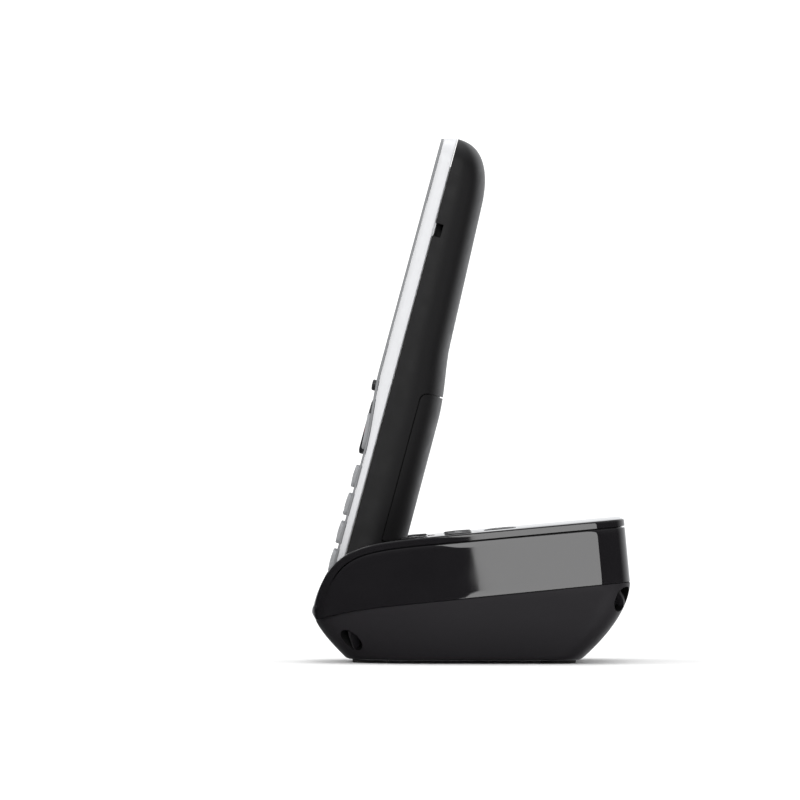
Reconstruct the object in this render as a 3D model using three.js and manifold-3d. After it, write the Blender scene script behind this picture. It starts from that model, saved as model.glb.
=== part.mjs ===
// Cordless telephone: a slim handset that leans back in a charging base with answering-machine keys.
// Millimetres, +Z up. Origin on the surface it stands on, under the middle of the base.
// The keys of the handset face -Y. Handset parts are modelled along their own axis inside a tilted group:
// x across, y from the front (-) to the back (+) with 0 on the seam of the casing, z up from the bottom end.
import * as THREE from 'three';
import { mergeVertices } from 'three/addons/utils/BufferGeometryUtils.js';
import Module from 'manifold-3d';

const wasm = await Module();
wasm.setup();

// ---- Driving dimensions: base ----
const BASE = {
  halfLength: 53.8, halfWidth: 48, rearCorner: 10, frontPower: 2.8,
  floorZ: 1.1, wall: 2.2, partingGap: 0.3, topSlope: THREE.MathUtils.degToRad(5.35),
  coverThickness: 2.4, groove: 0.5, coverFrontZ: 19.5, lipGap: 0.1, lipInset: 1,
};
const WALL_DRAFT = { lowZ: 10, highZ: 52, halfLow: 48.5, halfHigh: 46.9, rearLow: 55.46, rearHigh: 51.5 };
const BOTTOM = { front: 41.7, rear: 37.2, half: 37, corner: 9 };
const LIP_FRONT = 52.4;
const NOSE_TOP = new THREE.Vector2(-12.1, 43);
const NOSE_KNEE = new THREE.Vector2(-48.2, 30.5);
const NOSE_TIP = new THREE.Vector2(-53.8, 16.9);
const KNEE_DIRECTION = new THREE.Vector2(0.573, 0.819);
const TIP_DIRECTION = new THREE.Vector2(0.284, 0.959);
const NOSE_PULL = { top: 22, kneeUp: 11, kneeDown: 5, tip: 5 };

// ---- Driving dimensions: handset ----
const TILT = THREE.MathUtils.degToRad(15.1);
const HANDSET_FOOT = new THREE.Vector3(0, -45.81, 22.8);
const HAND = {
  length: 160, halfWidth: 25, topCorner: 8, bottomCorner: 5, sectionPower: 3.4, wall: 1.7,
  seamGap: 0.15, frameWall: 1.8, headFace: 5.37, gripFace: 3.2, headBand: 4.4, gripBand: 2.4,
  backGrip: 18.8, backHead: 15.9, endSlope: 0.27,
};
const TONGUE = { outer: 23.1, inner: 22.5, root: 23.4, front: -1, back: 0.45, low: 8, high: 150 };
const FACE_BEND = { low: 49, high: 78 };
const POCKET = { clearance: 0.55, wall: 1.5, depthBelow: 0.55, floor: 1.5, lipHeight: 4.5 };
const COVER = {
  high: 73.8, seam: 10.65, corner: 2.5, gap: 0.3, topGap: 0.42, wall: 1.6,
  hingeY: 19, hingeZ: 24.65, lowSlope: 0.325, lowCorner: 1.2,
  lipLow: 72.9, lipInset: 1.05, rebateLow: 72.6, rebateWall: 0.8,
};
const CELL = { radius: 5.2, length: 44.5, x: 5.6, y: 11, bottom: 26.6 };

// ---- Driving dimensions: keys ----
const KEY = { clearance: 0.3, innerEnd: -1.5, corner: 1.6, numberProud: 1.4, callProud: 1.2, softProud: 1.3 };
const NUMBER_KEY = { width: 13, height: 7.5, pitchX: 15, pitchZ: 9.85, topRowZ: 40.75 };
const CALL_KEY = { width: 9.5, height: 12.2, x: 17.6, z: 56.5, corner: 3 };
const SOFT_KEY = { width: 14, height: 3.7, x: 13.5, z: 72.2, corner: 1.4 };
const NAV_KEY = { radius: 9.6, z: 58.1, proud: 1.1 };
const BASE_KEY = { width: 14, length: 9, sideX: 34, proud: 0.5, depth: 5, corner: 3, clearance: 0.3 };
const PLAY_KEY = { width: 26, length: 10.4, corner: 4.4 };
const BASE_KEY_ROWS = { volume: -19.1, skip: -4.1, play: 10.3 };

// ---- Driving dimensions: feet, ports, sockets ----
const FOOT = { radius: 5.95, top: 1.7, frontX: 15, frontY: -33.85, rearX: 27, rearY: 29.75, recess: 0.2 };
const PORT = { radius: 4.5, rib: 0.8, depth: 9 };
const LINE_SOCKET = { x: 12, half: 6, low: 13.8, high: 22.2, back: 34, mouth: 48, wall: 1.1 };
const POWER_SOCKET = { x: -14, half: 4.6, low: 13.4, high: 22.6, back: 35, mouth: 48, bore: 3.1, pin: 1 };
const SOCKET_GAP = 0.35;

// ---- Small tools ----
const X = new THREE.Vector3(1, 0, 0);
const Y = new THREE.Vector3(0, 1, 0);
const Z = new THREE.Vector3(0, 0, 1);

function solidOf(geometry) {
  const plain = geometry.clone();
  plain.deleteAttribute('normal');
  plain.deleteAttribute('uv');
  const merged = mergeVertices(plain, 1e-4);
  const index = merged.index.array;
  const kept = [];
  for (let i = 0; i < index.length; i += 3) {
    const [a, b, c] = [index[i], index[i + 1], index[i + 2]];
    if (a !== b && b !== c && a !== c) kept.push(a, b, c);
  }
  const vertProperties = new Float32Array(merged.attributes.position.array);
  const triVerts = new Uint32Array(kept);
  return new wasm.Manifold(new wasm.Mesh({ numProp: 3, vertProperties, triVerts }));
}

function geometryOf(solid) {
  const mesh = solid.getMesh();
  const geometry = new THREE.BufferGeometry();
  geometry.setAttribute('position', new THREE.BufferAttribute(new Float32Array(mesh.vertProperties), 3));
  geometry.setIndex(new THREE.BufferAttribute(new Uint32Array(mesh.triVerts), 1));
  return geometry;
}

function box(x0, x1, y0, y1, z0, z1) {
  const geometry = new THREE.BoxGeometry(x1 - x0, y1 - y0, z1 - z0);
  return solidOf(geometry.translate((x0 + x1) / 2, (y0 + y1) / 2, (z0 + z1) / 2));
}

// Extrudes an outline given in the plane of two axes along the third one, from `from` to `to`.
function prism(points, axes, from, to) {
  const settings = { depth: to - from, bevelEnabled: false };
  const geometry = new THREE.ExtrudeGeometry(new THREE.Shape(points), settings);
  geometry.translate(0, 0, from);
  return solidOf(geometry.applyMatrix4(new THREE.Matrix4().makeBasis(...axes)));
}

const sidePrism = (points, half) => prism(points, [Y, Z, X], -half, half);
const planPrism = (points, low, high) => prism(points, [X, Y, Z], low, high);
const frontPrism = (points, front, back) => prism(points, [X, Z, Y.clone().negate()], -back, -front);

function rod(radius, from, to, segments = 20) {
  const along = new THREE.Vector3().subVectors(to, from);
  const geometry = new THREE.CylinderGeometry(radius, radius, along.length(), segments);
  const turn = new THREE.Quaternion().setFromUnitVectors(Y, along.clone().normalize());
  const middle = from.clone().addScaledVector(along, 0.5);
  return solidOf(geometry.applyQuaternion(turn).translate(middle.x, middle.y, middle.z));
}

function roundedRectangle(width, height, radius, segments = 2) {
  const [a, b] = [width / 2 - radius, height / 2 - radius];
  const shape = new THREE.Shape();
  shape.absarc(a, b, radius, 0, Math.PI / 2);
  shape.absarc(-a, b, radius, Math.PI / 2, Math.PI);
  shape.absarc(-a, -b, radius, Math.PI, 1.5 * Math.PI);
  shape.absarc(a, -b, radius, 1.5 * Math.PI, 2 * Math.PI);
  const points = shape.getPoints(segments);
  return points.filter((p, i) => p.distanceTo(points[(i + 1) % points.length]) > 1e-3);
}

const moved = (points, dx, dy) => points.map((p) => new THREE.Vector2(p.x + dx, p.y + dy));

// Skins a stack of rings that are mirror images left and right; ring[0] and ring[n/2] lie on x = 0.
function loft(rings) {
  const count = rings[0].length;
  const position = rings.flat().flatMap((p) => [p.x, p.y, p.z]);
  const index = [];
  for (let level = 0; level < rings.length - 1; level += 1) {
    for (let i = 0; i < count; i += 1) {
      const a = level * count + i;
      const b = level * count + ((i + 1) % count);
      index.push(a, b, b + count, a, b + count, a + count);
    }
  }
  const top = (rings.length - 1) * count;
  for (let i = 0; i < count / 2; i += 1) {
    const [left, leftNext] = [(count - i) % count, count - i - 1];
    if (i > 0) {
      index.push(i, left, i + 1);
      index.push(top + i, top + i + 1, top + left);
    }
    if (i + 1 < count / 2) {
      index.push(i + 1, left, leftNext);
      index.push(top + i + 1, top + leftNext, top + left);
    }
  }
  const geometry = new THREE.BufferGeometry();
  geometry.setAttribute('position', new THREE.Float32BufferAttribute(position, 3));
  geometry.setIndex(index);
  return solidOf(geometry);
}

function mesh(name, solid, color, roughness, metalness = 0) {
  const geometry = geometryOf(solid);
  geometry.computeVertexNormals();
  const part = new THREE.Mesh(geometry, new THREE.MeshStandardMaterial({ color, roughness, metalness }));
  part.name = name;
  return part;
}

const lerp = THREE.MathUtils.lerp;
const smoothstep = THREE.MathUtils.smoothstep;
const GLOSS_BLACK = [0x101012, 0.12];
const SATIN_BLACK = [0x202022, 0.45];
const SILVER = [0xd4d6d8, 0.35, 0.6];
const METAL = [0xb9b9bd, 0.3, 1];

// ---- Base shape ----
const topZ = (y) => NOSE_TOP.y + (y - NOSE_TOP.x) * Math.tan(BASE.topSlope);
const creaseZ = (y) => 22.25 + 0.1 * y - 2.4 * Math.max(0, (-18.7 - y) / 32.9) ** 3;

// Side outline of the top, from the tip of the nose over the knee to beyond the rear edge.
function topCurve() {
  const pull = (point, direction, length) => point.clone().addScaledVector(direction, length);
  const slope = new THREE.Vector2(Math.cos(BASE.topSlope), Math.sin(BASE.topSlope));
  const lower = new THREE.CubicBezierCurve(
    NOSE_TIP,
    pull(NOSE_TIP, TIP_DIRECTION, NOSE_PULL.tip),
    pull(NOSE_KNEE, KNEE_DIRECTION, -NOSE_PULL.kneeDown),
    NOSE_KNEE,
  );
  const upper = new THREE.CubicBezierCurve(
    NOSE_KNEE,
    pull(NOSE_KNEE, KNEE_DIRECTION, NOSE_PULL.kneeUp),
    pull(NOSE_TOP, slope, -NOSE_PULL.top),
    NOSE_TOP,
  );
  const rear = new THREE.Vector2(BASE.halfLength + 4, topZ(BASE.halfLength + 4));
  return [...lower.getPoints(5), ...upper.getPoints(9).slice(1), rear];
}

function offsetDown(curve, distance) {
  return curve.map((point, i) => {
    const before = curve[Math.max(i - 1, 0)];
    const after = curve[Math.min(i + 1, curve.length - 1)];
    const along = after.clone().sub(before).normalize();
    return new THREE.Vector2(point.x + along.y * distance, point.y - along.x * distance);
  });
}

// Plan outline of the base, starting at the front tip and running round by the right-hand side.
function planRing({ front, rear, half, corner, z }) {
  const right = [];
  const power = 2 / BASE.frontPower;
  const frontSteps = 10;
  const cornerSteps = 5;
  for (let i = 0; i <= frontSteps; i += 1) {
    const angle = (i / frontSteps) * (Math.PI / 2);
    right.push([half * Math.sin(angle) ** power, -front * Math.cos(angle) ** power]);
  }
  for (let i = 0; i <= cornerSteps; i += 1) {
    const angle = (i / cornerSteps) * (Math.PI / 2);
    right.push([half - corner + corner * Math.cos(angle), rear - corner + corner * Math.sin(angle)]);
  }
  right[0][0] = 0;
  right[frontSteps][1] = 0;
  right.push([0, rear]);
  const left = right.slice(1, -1).reverse().map(([x, y]) => [-x, y]);
  return [...right, ...left].map(([x, y]) => new THREE.Vector3(x, y, typeof z === 'function' ? z(y) : z));
}

function upperPlan(inset) {
  const ring = (z, half, rear) => planRing({
    front: BASE.halfLength - inset, rear: rear - inset, half: half - inset,
    corner: BASE.rearCorner - inset, z,
  });
  const { lowZ, highZ, halfLow, halfHigh, rearLow, rearHigh } = WALL_DRAFT;
  return loft([ring(lowZ, halfLow, rearLow), ring(highZ, halfHigh, rearHigh)]);
}

// Everything between the crease and the top skin, `below` millimetres under the outside of that skin.
function underTop(below) {
  const curve = offsetDown(topCurve(), below);
  const crease = [];
  for (let y = BASE.halfLength + 4; y > -LIP_FRONT; y -= 8) {
    crease.push(new THREE.Vector2(y, creaseZ(y) + BASE.partingGap));
  }
  crease.push(new THREE.Vector2(-LIP_FRONT, creaseZ(-LIP_FRONT) + BASE.partingGap));
  return sidePrism([...crease.reverse(), ...curve.reverse()], 60);
}

// The skin between two depths under the top, down to a height on the nose.
function topSkin(outer, inner, lowZ) {
  const outside = offsetDown(topCurve(), outer);
  const inside = offsetDown(topCurve(), inner);
  const slab = sidePrism([...inside, ...outside.reverse()], 60);
  return slab.subtract(box(-70, 70, -70, 0, -20, lowZ));
}

// ---- Handset shape ----
const faceBlend = (z) => smoothstep(z, FACE_BEND.low, FACE_BEND.high);
const faceDepth = (z) => lerp(HAND.gripFace, HAND.headFace, faceBlend(z));
const bandDepth = (z) => lerp(HAND.gripBand, HAND.headBand, faceBlend(z));

function backDepth(z) {
  const grip = HAND.backGrip - 0.0045 * z;
  const head = HAND.backHead - 0.04 * (z - 88);
  const middle = lerp(grip, head, smoothstep(z, 66, 92));
  const top = THREE.MathUtils.clamp((z - 140) / 20, 0, 1);
  const bottom = THREE.MathUtils.clamp((6 - z) / 6, 0, 1);
  const roundTop = 0.07 + 0.93 * (1 - top ** 2.4) ** (1 / 2.4);
  const roundBottom = 0.72 + 0.28 * Math.sqrt(1 - bottom ** 2);
  return middle * roundTop * roundBottom;
}

function halfWidthAt(z) {
  const { length, halfWidth, topCorner, bottomCorner } = HAND;
  const over = Math.max(0, z - (length - topCorner));
  const under = Math.max(0, bottomCorner - z);
  const top = topCorner - Math.sqrt(Math.max(0, topCorner ** 2 - over ** 2));
  const bottom = bottomCorner - Math.sqrt(Math.max(0, bottomCorner ** 2 - under ** 2));
  return halfWidth - top - bottom;
}

function sectionRing(half, front, back, z) {
  const steps = 9;
  const power = 2 / HAND.sectionPower;
  const right = [[0, front]];
  for (let i = 0; i <= steps; i += 1) {
    const angle = (i / steps) * (Math.PI / 2);
    right.push([half * Math.cos(angle) ** power, (back - front) * Math.sin(angle) ** power + front]);
  }
  right[steps + 1][0] = 0;
  const left = right.slice(1, -1).reverse().map(([x, y]) => [-x, y]);
  return [...right, ...left].map(([x, y]) => new THREE.Vector3(x, y, z));
}

function backSolid(inset, front) {
  const low = inset;
  const high = HAND.length - inset * 0.8;
  const outside = [0, 0.8, 2.2, 4, 6, 25, 66, 72, 79, 86, 92, 116, 140, 146, 151, 154.5, 157.2, 159, 160];
  const inside = [0, 2.2, 6, 25, 66, 75, 92, 116, 140, 151, 157.2, 160];
  return loft((inset > 0 ? inside : outside).map((height) => {
    const z = lerp(low, high, height / HAND.length);
    return sectionRing(halfWidthAt(height) - inset, front, backDepth(height) - inset, z);
  }));
}

function handsetOutline(inset) {
  const { length, halfWidth, topCorner, bottomCorner } = HAND;
  const [half, low, high] = [halfWidth - inset, inset, length - inset];
  const [top, bottom] = [topCorner - inset, bottomCorner - inset];
  const shape = new THREE.Shape();
  shape.absarc(half - bottom, low + bottom, bottom, 1.5 * Math.PI, 2 * Math.PI);
  shape.absarc(half - top, high - top, top, 0, Math.PI / 2);
  shape.absarc(-half + top, high - top, top, Math.PI / 2, Math.PI);
  shape.absarc(-half + bottom, low + bottom, bottom, Math.PI, 1.5 * Math.PI);
  return shape.getPoints(4);
}

// Slice of the handset between two depth functions, both measured forwards from the seam.
function frontLayer(nearDepth, farDepth) {
  const heights = [-5, 49, 53.5, 58, 63.5, 69, 73.5, 78, 170];
  const near = heights.map((z) => new THREE.Vector2(-nearDepth(z), z));
  const far = heights.map((z) => new THREE.Vector2(-farDepth(z), z)).reverse();
  return sidePrism([...near, ...far], 30);
}

const handsetMatrix = new THREE.Matrix4().compose(
  HANDSET_FOOT,
  new THREE.Quaternion().setFromAxisAngle(X, -TILT),
  new THREE.Vector3(1, 1, 1),
);
const inBase = (solid) => solidOf(geometryOf(solid).applyMatrix4(handsetMatrix));

// The straight pocket that the handset drops into, widened by `extra`.
function pocket(extra, low, high) {
  const half = HAND.halfWidth + extra;
  const front = -HAND.gripFace - extra;
  const back = backDepth(10) + extra;
  return loft([low, high].map((z) => sectionRingWithFront(half, front, back, z)));
}

// A pocket section: square front corners, rounded back.
function sectionRingWithFront(half, front, back, z) {
  const ring = sectionRing(half, 0, back, z);
  const count = ring.length;
  ring.splice(1, 0, new THREE.Vector3(half, front, z));
  ring.splice(count + 1, 0, new THREE.Vector3(-half, front, z));
  ring[0].y = front;
  return ring;
}
const frontOpening = () => {
  const half = HAND.halfWidth + POCKET.clearance;
  return box(-half, half, -40, 0, POCKET.lipHeight, 70);
};

// ---- Base sub-parts ----
const topPlane = new THREE.Matrix4().makeRotationX(BASE.topSlope).setPosition(0, 0, topZ(0));
const onTop = (solid) => solidOf(geometryOf(solid).applyMatrix4(topPlane));
const BASE_KEYS = [
  { name: 'volume_down', x: -BASE_KEY.sideX, y: BASE_KEY_ROWS.volume },
  { name: 'volume_up', x: BASE_KEY.sideX, y: BASE_KEY_ROWS.volume },
  { name: 'skip_back', x: -BASE_KEY.sideX, y: BASE_KEY_ROWS.skip },
  { name: 'skip_forward', x: BASE_KEY.sideX, y: BASE_KEY_ROWS.skip },
  { name: 'locate', x: 0, y: BASE_KEY_ROWS.skip },
  { name: 'play', x: 0, y: BASE_KEY_ROWS.play, ...PLAY_KEY },
].map((key) => ({ ...BASE_KEY, ...key }));

const baseKeyOutline = (key, extra) => moved(
  roundedRectangle(key.width + 2 * extra, key.length + 2 * extra, key.corner + extra),
  key.x,
  key.y,
);

function baseKey(key) {
  const solid = planPrism(baseKeyOutline(key, 0), -BASE_KEY.depth, BASE_KEY.proud);
  return mesh(`base_key_${key.name}`, solid, ...GLOSS_BLACK);
}

const LIGHT = { width: 9, length: 2.2, y: -13.2, depth: 3, proud: 0.15 };
const lightOutline = (extra) => moved(
  roundedRectangle(LIGHT.width + 2 * extra, LIGHT.length + 2 * extra, 1 + extra, 2),
  0,
  LIGHT.y,
);
const messageLight = () => mesh(
  'message_light',
  planPrism(lightOutline(0), -LIGHT.depth, LIGHT.proud),
  0xa03028,
  0.15,
);

function topCover() {
  let cover = upperPlan(0).intersect(topSkin(0, BASE.coverThickness, BASE.coverFrontZ));
  cover = cover.subtract(inBase(pocket(POCKET.clearance, -POCKET.depthBelow, 70)));
  cover = cover.subtract(inBase(frontOpening()));
  for (const key of BASE_KEYS) {
    cover = cover.subtract(onTop(planPrism(baseKeyOutline(key, BASE_KEY.clearance), -8, 8)));
  }
  cover = cover.subtract(onTop(planPrism(lightOutline(BASE_KEY.clearance), -8, 8)));
  return mesh('top_cover', cover, ...GLOSS_BLACK);
}

// The outer wall stops below the groove; a thinner lip behind it closes the groove off inside.
function upperHousing() {
  const { coverThickness, coverFrontZ, groove, lipGap, lipInset, wall } = BASE;
  const grooveCut = topSkin(-5, coverThickness + groove, coverFrontZ - groove);
  const lipCut = topSkin(-5, coverThickness + lipGap, coverFrontZ - lipGap);
  const band = upperPlan(0).intersect(underTop(0)).subtract(grooveCut);
  const lip = upperPlan(lipInset).intersect(underTop(0)).subtract(lipCut);
  return mesh('upper_housing', band.add(lip).subtract(upperPlan(wall)), ...GLOSS_BLACK);
}

// The bowl under the crease: its outline shrinks towards the bottom, faster the lower it is.
function bowl(inset, topLift, floorZ) {
  const levels = inset > 0 ? [0, 0.4, 0.75, 1] : [0, 0.2, 0.4, 0.6, 0.8, 1];
  const rim = planRing({
    front: LIP_FRONT - inset, rear: BASE.halfLength - inset, half: BASE.halfWidth - inset,
    corner: BASE.rearCorner - inset * 0.8, z: (y) => creaseZ(y) + topLift,
  });
  const bottom = planRing({
    front: BOTTOM.front - inset, rear: BOTTOM.rear - inset, half: BOTTOM.half - inset,
    corner: BOTTOM.corner - inset * 0.8, z: floorZ,
  });
  const rings = levels.map((level) => rim.map((point, i) => {
    const share = (point.y / BASE.halfLength + 1) / 2;
    const inward = level ** lerp(1.3, 1.8, share);
    const flat = point.clone().lerp(bottom[i], inward);
    return new THREE.Vector3(flat.x, flat.y, lerp(point.z, floorZ, level));
  }));
  return loft(rings.reverse());
}

// Round sound ports at the four lower corners; the rib across each port stays part of the wall.
const PORTS = [
  { point: [30.4, -40.8, 7.2], normal: [0.5, -0.63, -0.6], ribTurn: THREE.MathUtils.degToRad(23) },
  { point: [42, 51.6, 21.8], normal: [0.46, 0.85, -0.25], ribTurn: THREE.MathUtils.degToRad(-54) },
];

function portCut({ point, normal, ribTurn }, side) {
  const centre = new THREE.Vector3(point[0] * side, point[1], point[2]);
  const axis = new THREE.Vector3(normal[0] * side, normal[1], normal[2]).normalize();
  const inner = centre.clone().addScaledVector(axis, -PORT.depth);
  const outer = centre.clone().addScaledVector(axis, PORT.depth);
  const rib = new THREE.BoxGeometry(PORT.rib, 2 * PORT.radius + 2, 5 * PORT.depth);
  rib.rotateZ(-side * ribTurn);
  const up = new THREE.Vector3().crossVectors(axis, new THREE.Vector3().crossVectors(Z, axis)).normalize();
  const across = new THREE.Vector3().crossVectors(up, axis);
  rib.applyMatrix4(new THREE.Matrix4().makeBasis(across, up, axis).setPosition(centre));
  return rod(PORT.radius, inner, outer, 16).subtract(solidOf(rib));
}

const FEET = [
  { name: 'front_left', x: -FOOT.frontX, y: FOOT.frontY },
  { name: 'front_right', x: FOOT.frontX, y: FOOT.frontY },
  { name: 'rear_left', x: -FOOT.rearX, y: FOOT.rearY },
  { name: 'rear_right', x: FOOT.rearX, y: FOOT.rearY },
];
const BASE_SCREWS = [{ name: 'left', x: -30 }, { name: 'right', x: 30 }];
const SCREW = { y: 0, boss: 3.6, bossTop: 13, head: 2.8, headZ: 2.2, shank: 1.3, shankTop: 11, gap: 0.3 };
const SPEAKER = { radius: 19, y: 10, low: 3.6, high: 13.5, slot: 2.4, slotLength: 24, pitch: 6 };
const at = (x, y, z) => new THREE.Vector3(x, y, z);

function lowerHousing() {
  const inner = bowl(BASE.wall, 4, BASE.floorZ + BASE.wall);
  let bowlSolid = bowl(0, 0, BASE.floorZ).subtract(inner);
  for (const screw of BASE_SCREWS) {
    const { y, boss, bossTop, head, headZ, shank, gap } = SCREW;
    bowlSolid = bowlSolid.add(rod(boss, at(screw.x, y, BASE.floorZ + 1), at(screw.x, y, bossTop)));
    bowlSolid = bowlSolid.subtract(rod(shank + gap, at(screw.x, y, 0), at(screw.x, y, bossTop + 1), 12));
    bowlSolid = bowlSolid.subtract(rod(head + gap, at(screw.x, y, 0), at(screw.x, y, headZ + 2), 16));
  }
  for (const foot of FEET) {
    const recessTop = at(foot.x, foot.y, FOOT.top + FOOT.recess);
    bowlSolid = bowlSolid.subtract(rod(FOOT.radius + FOOT.recess, at(foot.x, foot.y, 0), recessTop));
  }
  for (const port of PORTS) {
    bowlSolid = bowlSolid.subtract(portCut(port, 1)).subtract(portCut(port, -1));
  }
  for (let i = -2; i <= 2; i += 1) {
    const slot = roundedRectangle(SPEAKER.slot, SPEAKER.slotLength, SPEAKER.slot / 2 - 0.05, 2);
    bowlSolid = bowlSolid.subtract(planPrism(moved(slot, i * SPEAKER.pitch, SPEAKER.y), 0, SPEAKER.low));
  }
  for (const socket of [LINE_SOCKET, POWER_SOCKET]) {
    const { x, half, low, high } = socket;
    const gap = SOCKET_GAP;
    bowlSolid = bowlSolid.subtract(box(x - half - gap, x + half + gap, 40, 60, low - gap, high + gap));
  }
  return mesh('lower_housing', bowlSolid, ...SATIN_BLACK);
}

function foot({ name, x, y }) {
  return mesh(`foot_${name}`, rod(FOOT.radius, at(x, y, 0), at(x, y, FOOT.top), 28), 0x1a1a1a, 0.9);
}

function baseScrew({ name, x }) {
  const { y, head, headZ, shank, shankTop } = SCREW;
  const solid = rod(head, at(x, y, headZ), at(x, y, headZ + 1.7), 14).add(
    rod(shank, at(x, y, headZ + 1), at(x, y, shankTop), 10),
  );
  const driveSlot = box(x - 2, x + 2, -0.4, 0.4, headZ - 1, headZ + 0.8);
  return mesh(`base_screw_${name}`, solid.subtract(driveSlot), ...METAL);
}

function loudspeaker() {
  const { radius, y, low, high } = SPEAKER;
  const profile = [
    [0, low + 2.4], [8, low + 2.4], [radius - 4, low + 0.6], [radius - 3, low + 0.1], [radius, low + 0.1],
    [radius, low + 2.6], [radius * 0.52, high - 4], [radius * 0.52, high], [0, high],
  ].map(([r, z]) => new THREE.Vector2(r, z));
  const geometry = new THREE.LatheGeometry(profile, 24).rotateX(Math.PI / 2).translate(0, y, 0);
  return mesh('loudspeaker', solidOf(geometry), 0x3a3a3c, 0.6, 0.3);
}

function lineSocket() {
  const { x, half, low, high, back, mouth, wall } = LINE_SOCKET;
  const body = box(x - half, x + half, back, mouth, low, high);
  return mesh('line_socket', body.subtract(
    box(x - half + wall, x + half - wall, back + 3, mouth + 1, low + wall, high - wall),
  ), 0x2b2b2d, 0.5);
}

function powerSocket() {
  const { x, half, low, high, back, mouth, bore, pin } = POWER_SOCKET;
  const z = (low + high) / 2;
  const body = box(x - half, x + half, back, mouth, low, high);
  const barrel = rod(bore, at(x, back + 3, z), at(x, mouth + 1, z), 16);
  const pinRod = rod(pin, at(x, back + 2, z), at(x, mouth - 1, z), 10);
  return mesh('power_socket', body.subtract(barrel).add(pinRod), 0x2b2b2d, 0.5);
}

function cradleTray() {
  const shellLow = -POCKET.depthBelow - POCKET.floor;
  const cup = inBase(pocket(POCKET.clearance + POCKET.wall, shellLow, 60));
  let tray = cup.intersect(underTop(BASE.coverThickness + 0.3)).intersect(upperPlan(BASE.wall + 0.3));
  tray = tray.add(cup.intersect(bowl(BASE.wall + 0.3, 1, BASE.floorZ + BASE.wall + 0.3)));
  tray = tray.subtract(inBase(pocket(POCKET.clearance, -POCKET.depthBelow, 70)));
  tray = tray.subtract(inBase(frontOpening()));
  for (const side of [-1, 1]) {
    tray = tray.subtract(inBase(contactSolid(side, 0.3)));
  }
  return mesh('cradle_tray', tray, ...SATIN_BLACK);
}

// Base boards follow the slope of the top; both leave room for the pocket.
const BOARD = { halfWidth: 41, front: -25, rear: 17, notchHalf: 28.5, notchRear: -15.5 };

function boardOutline(shrink) {
  const { halfWidth, front, rear, notchHalf, notchRear } = BOARD;
  const half = halfWidth - shrink;
  return [
    [-half, front], [-notchHalf, front], [-notchHalf, notchRear], [notchHalf, notchRear],
    [notchHalf, front], [half, front], [half, rear - shrink], [-half, rear - shrink],
  ].map(([x, y]) => new THREE.Vector2(x, y));
}
const baseKeyMat = () => mesh('base_key_mat', planPrism(boardOutline(0), -7.2, -6.2), 0x8d8f91, 0.8);
const basePcb = () => mesh('base_pcb', planPrism(boardOutline(1), -9.2, -7.6), 0x1e5a38, 0.5);

// ---- Charging contacts: sprung fingers in the tray, flat pads in the handset ----
const CONTACT = { x: 14, y: 8, halfX: 1.4, halfY: 3, low: -4.6, top: -0.35 };

function contactSolid(side, extra) {
  const { x, y, halfX, halfY, low, top } = CONTACT;
  const [a, b] = [halfX + extra, halfY + extra];
  return box(side * x - a, side * x + a, y - b, y + b, low - extra, top + (extra > 0 ? 3 : 0));
}

function chargePad(side) {
  const { x, y } = CONTACT;
  const solid = box(side * x - 2.2, side * x + 2.2, y - 4, y + 4, 0.1, 1.2);
  return mesh(`charge_pad_${side < 0 ? 'left' : 'right'}`, solid, ...METAL);
}

// ---- Handset sub-parts ----
// Side view of the battery cover, widened by the gaps; its lower edge rises to the hinge at the back.
function coverRegion(gap, topGap) {
  const { high, seam, corner, hingeY, hingeZ, lowSlope, lowCorner } = COVER;
  const region = new THREE.Shape();
  const [y0, z1, r] = [seam - gap, high + topGap, corner + gap];
  const lowZ = (y) => hingeZ - gap + (y - hingeY) * lowSlope;
  region.moveTo(y0, lowZ(y0) + lowCorner);
  region.quadraticCurveTo(y0, lowZ(y0), y0 + lowCorner, lowZ(y0 + lowCorner));
  region.lineTo(40, lowZ(40));
  region.lineTo(40, z1);
  region.lineTo(y0 + r, z1);
  region.absarc(y0 + r, z1 - r, r, Math.PI / 2, Math.PI);
  region.closePath();
  const points = region.getPoints(5);
  return sidePrism(points.filter((p, i) => p.distanceTo(points[(i + 1) % points.length]) > 1e-3), 40);
}

const HANDSET_SCREW = { x: 18, z: 67, head: 2.1, shank: 1, headY: 8.6, tipY: 2.9, gap: 0.3 };
const HEADSET = { z: 128.3, half: 2.3, low: 0.5, high: 2.95, depth: 9, right: 22.4 };
const RINGER = { z: 96, radius: 9.5, y: 9, thickness: 4.2, slot: 1.4, slotLength: 14, pitch: 3.2 };
const CELL_BAY = {
  half: 11.8, low: 25, high: 72.4, floor: 5.7,
  deckFront: 4.4, deckLow: 20.4, deckHigh: 75.9, ridge: 1.2, ridgeTop: 12,
};

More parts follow.
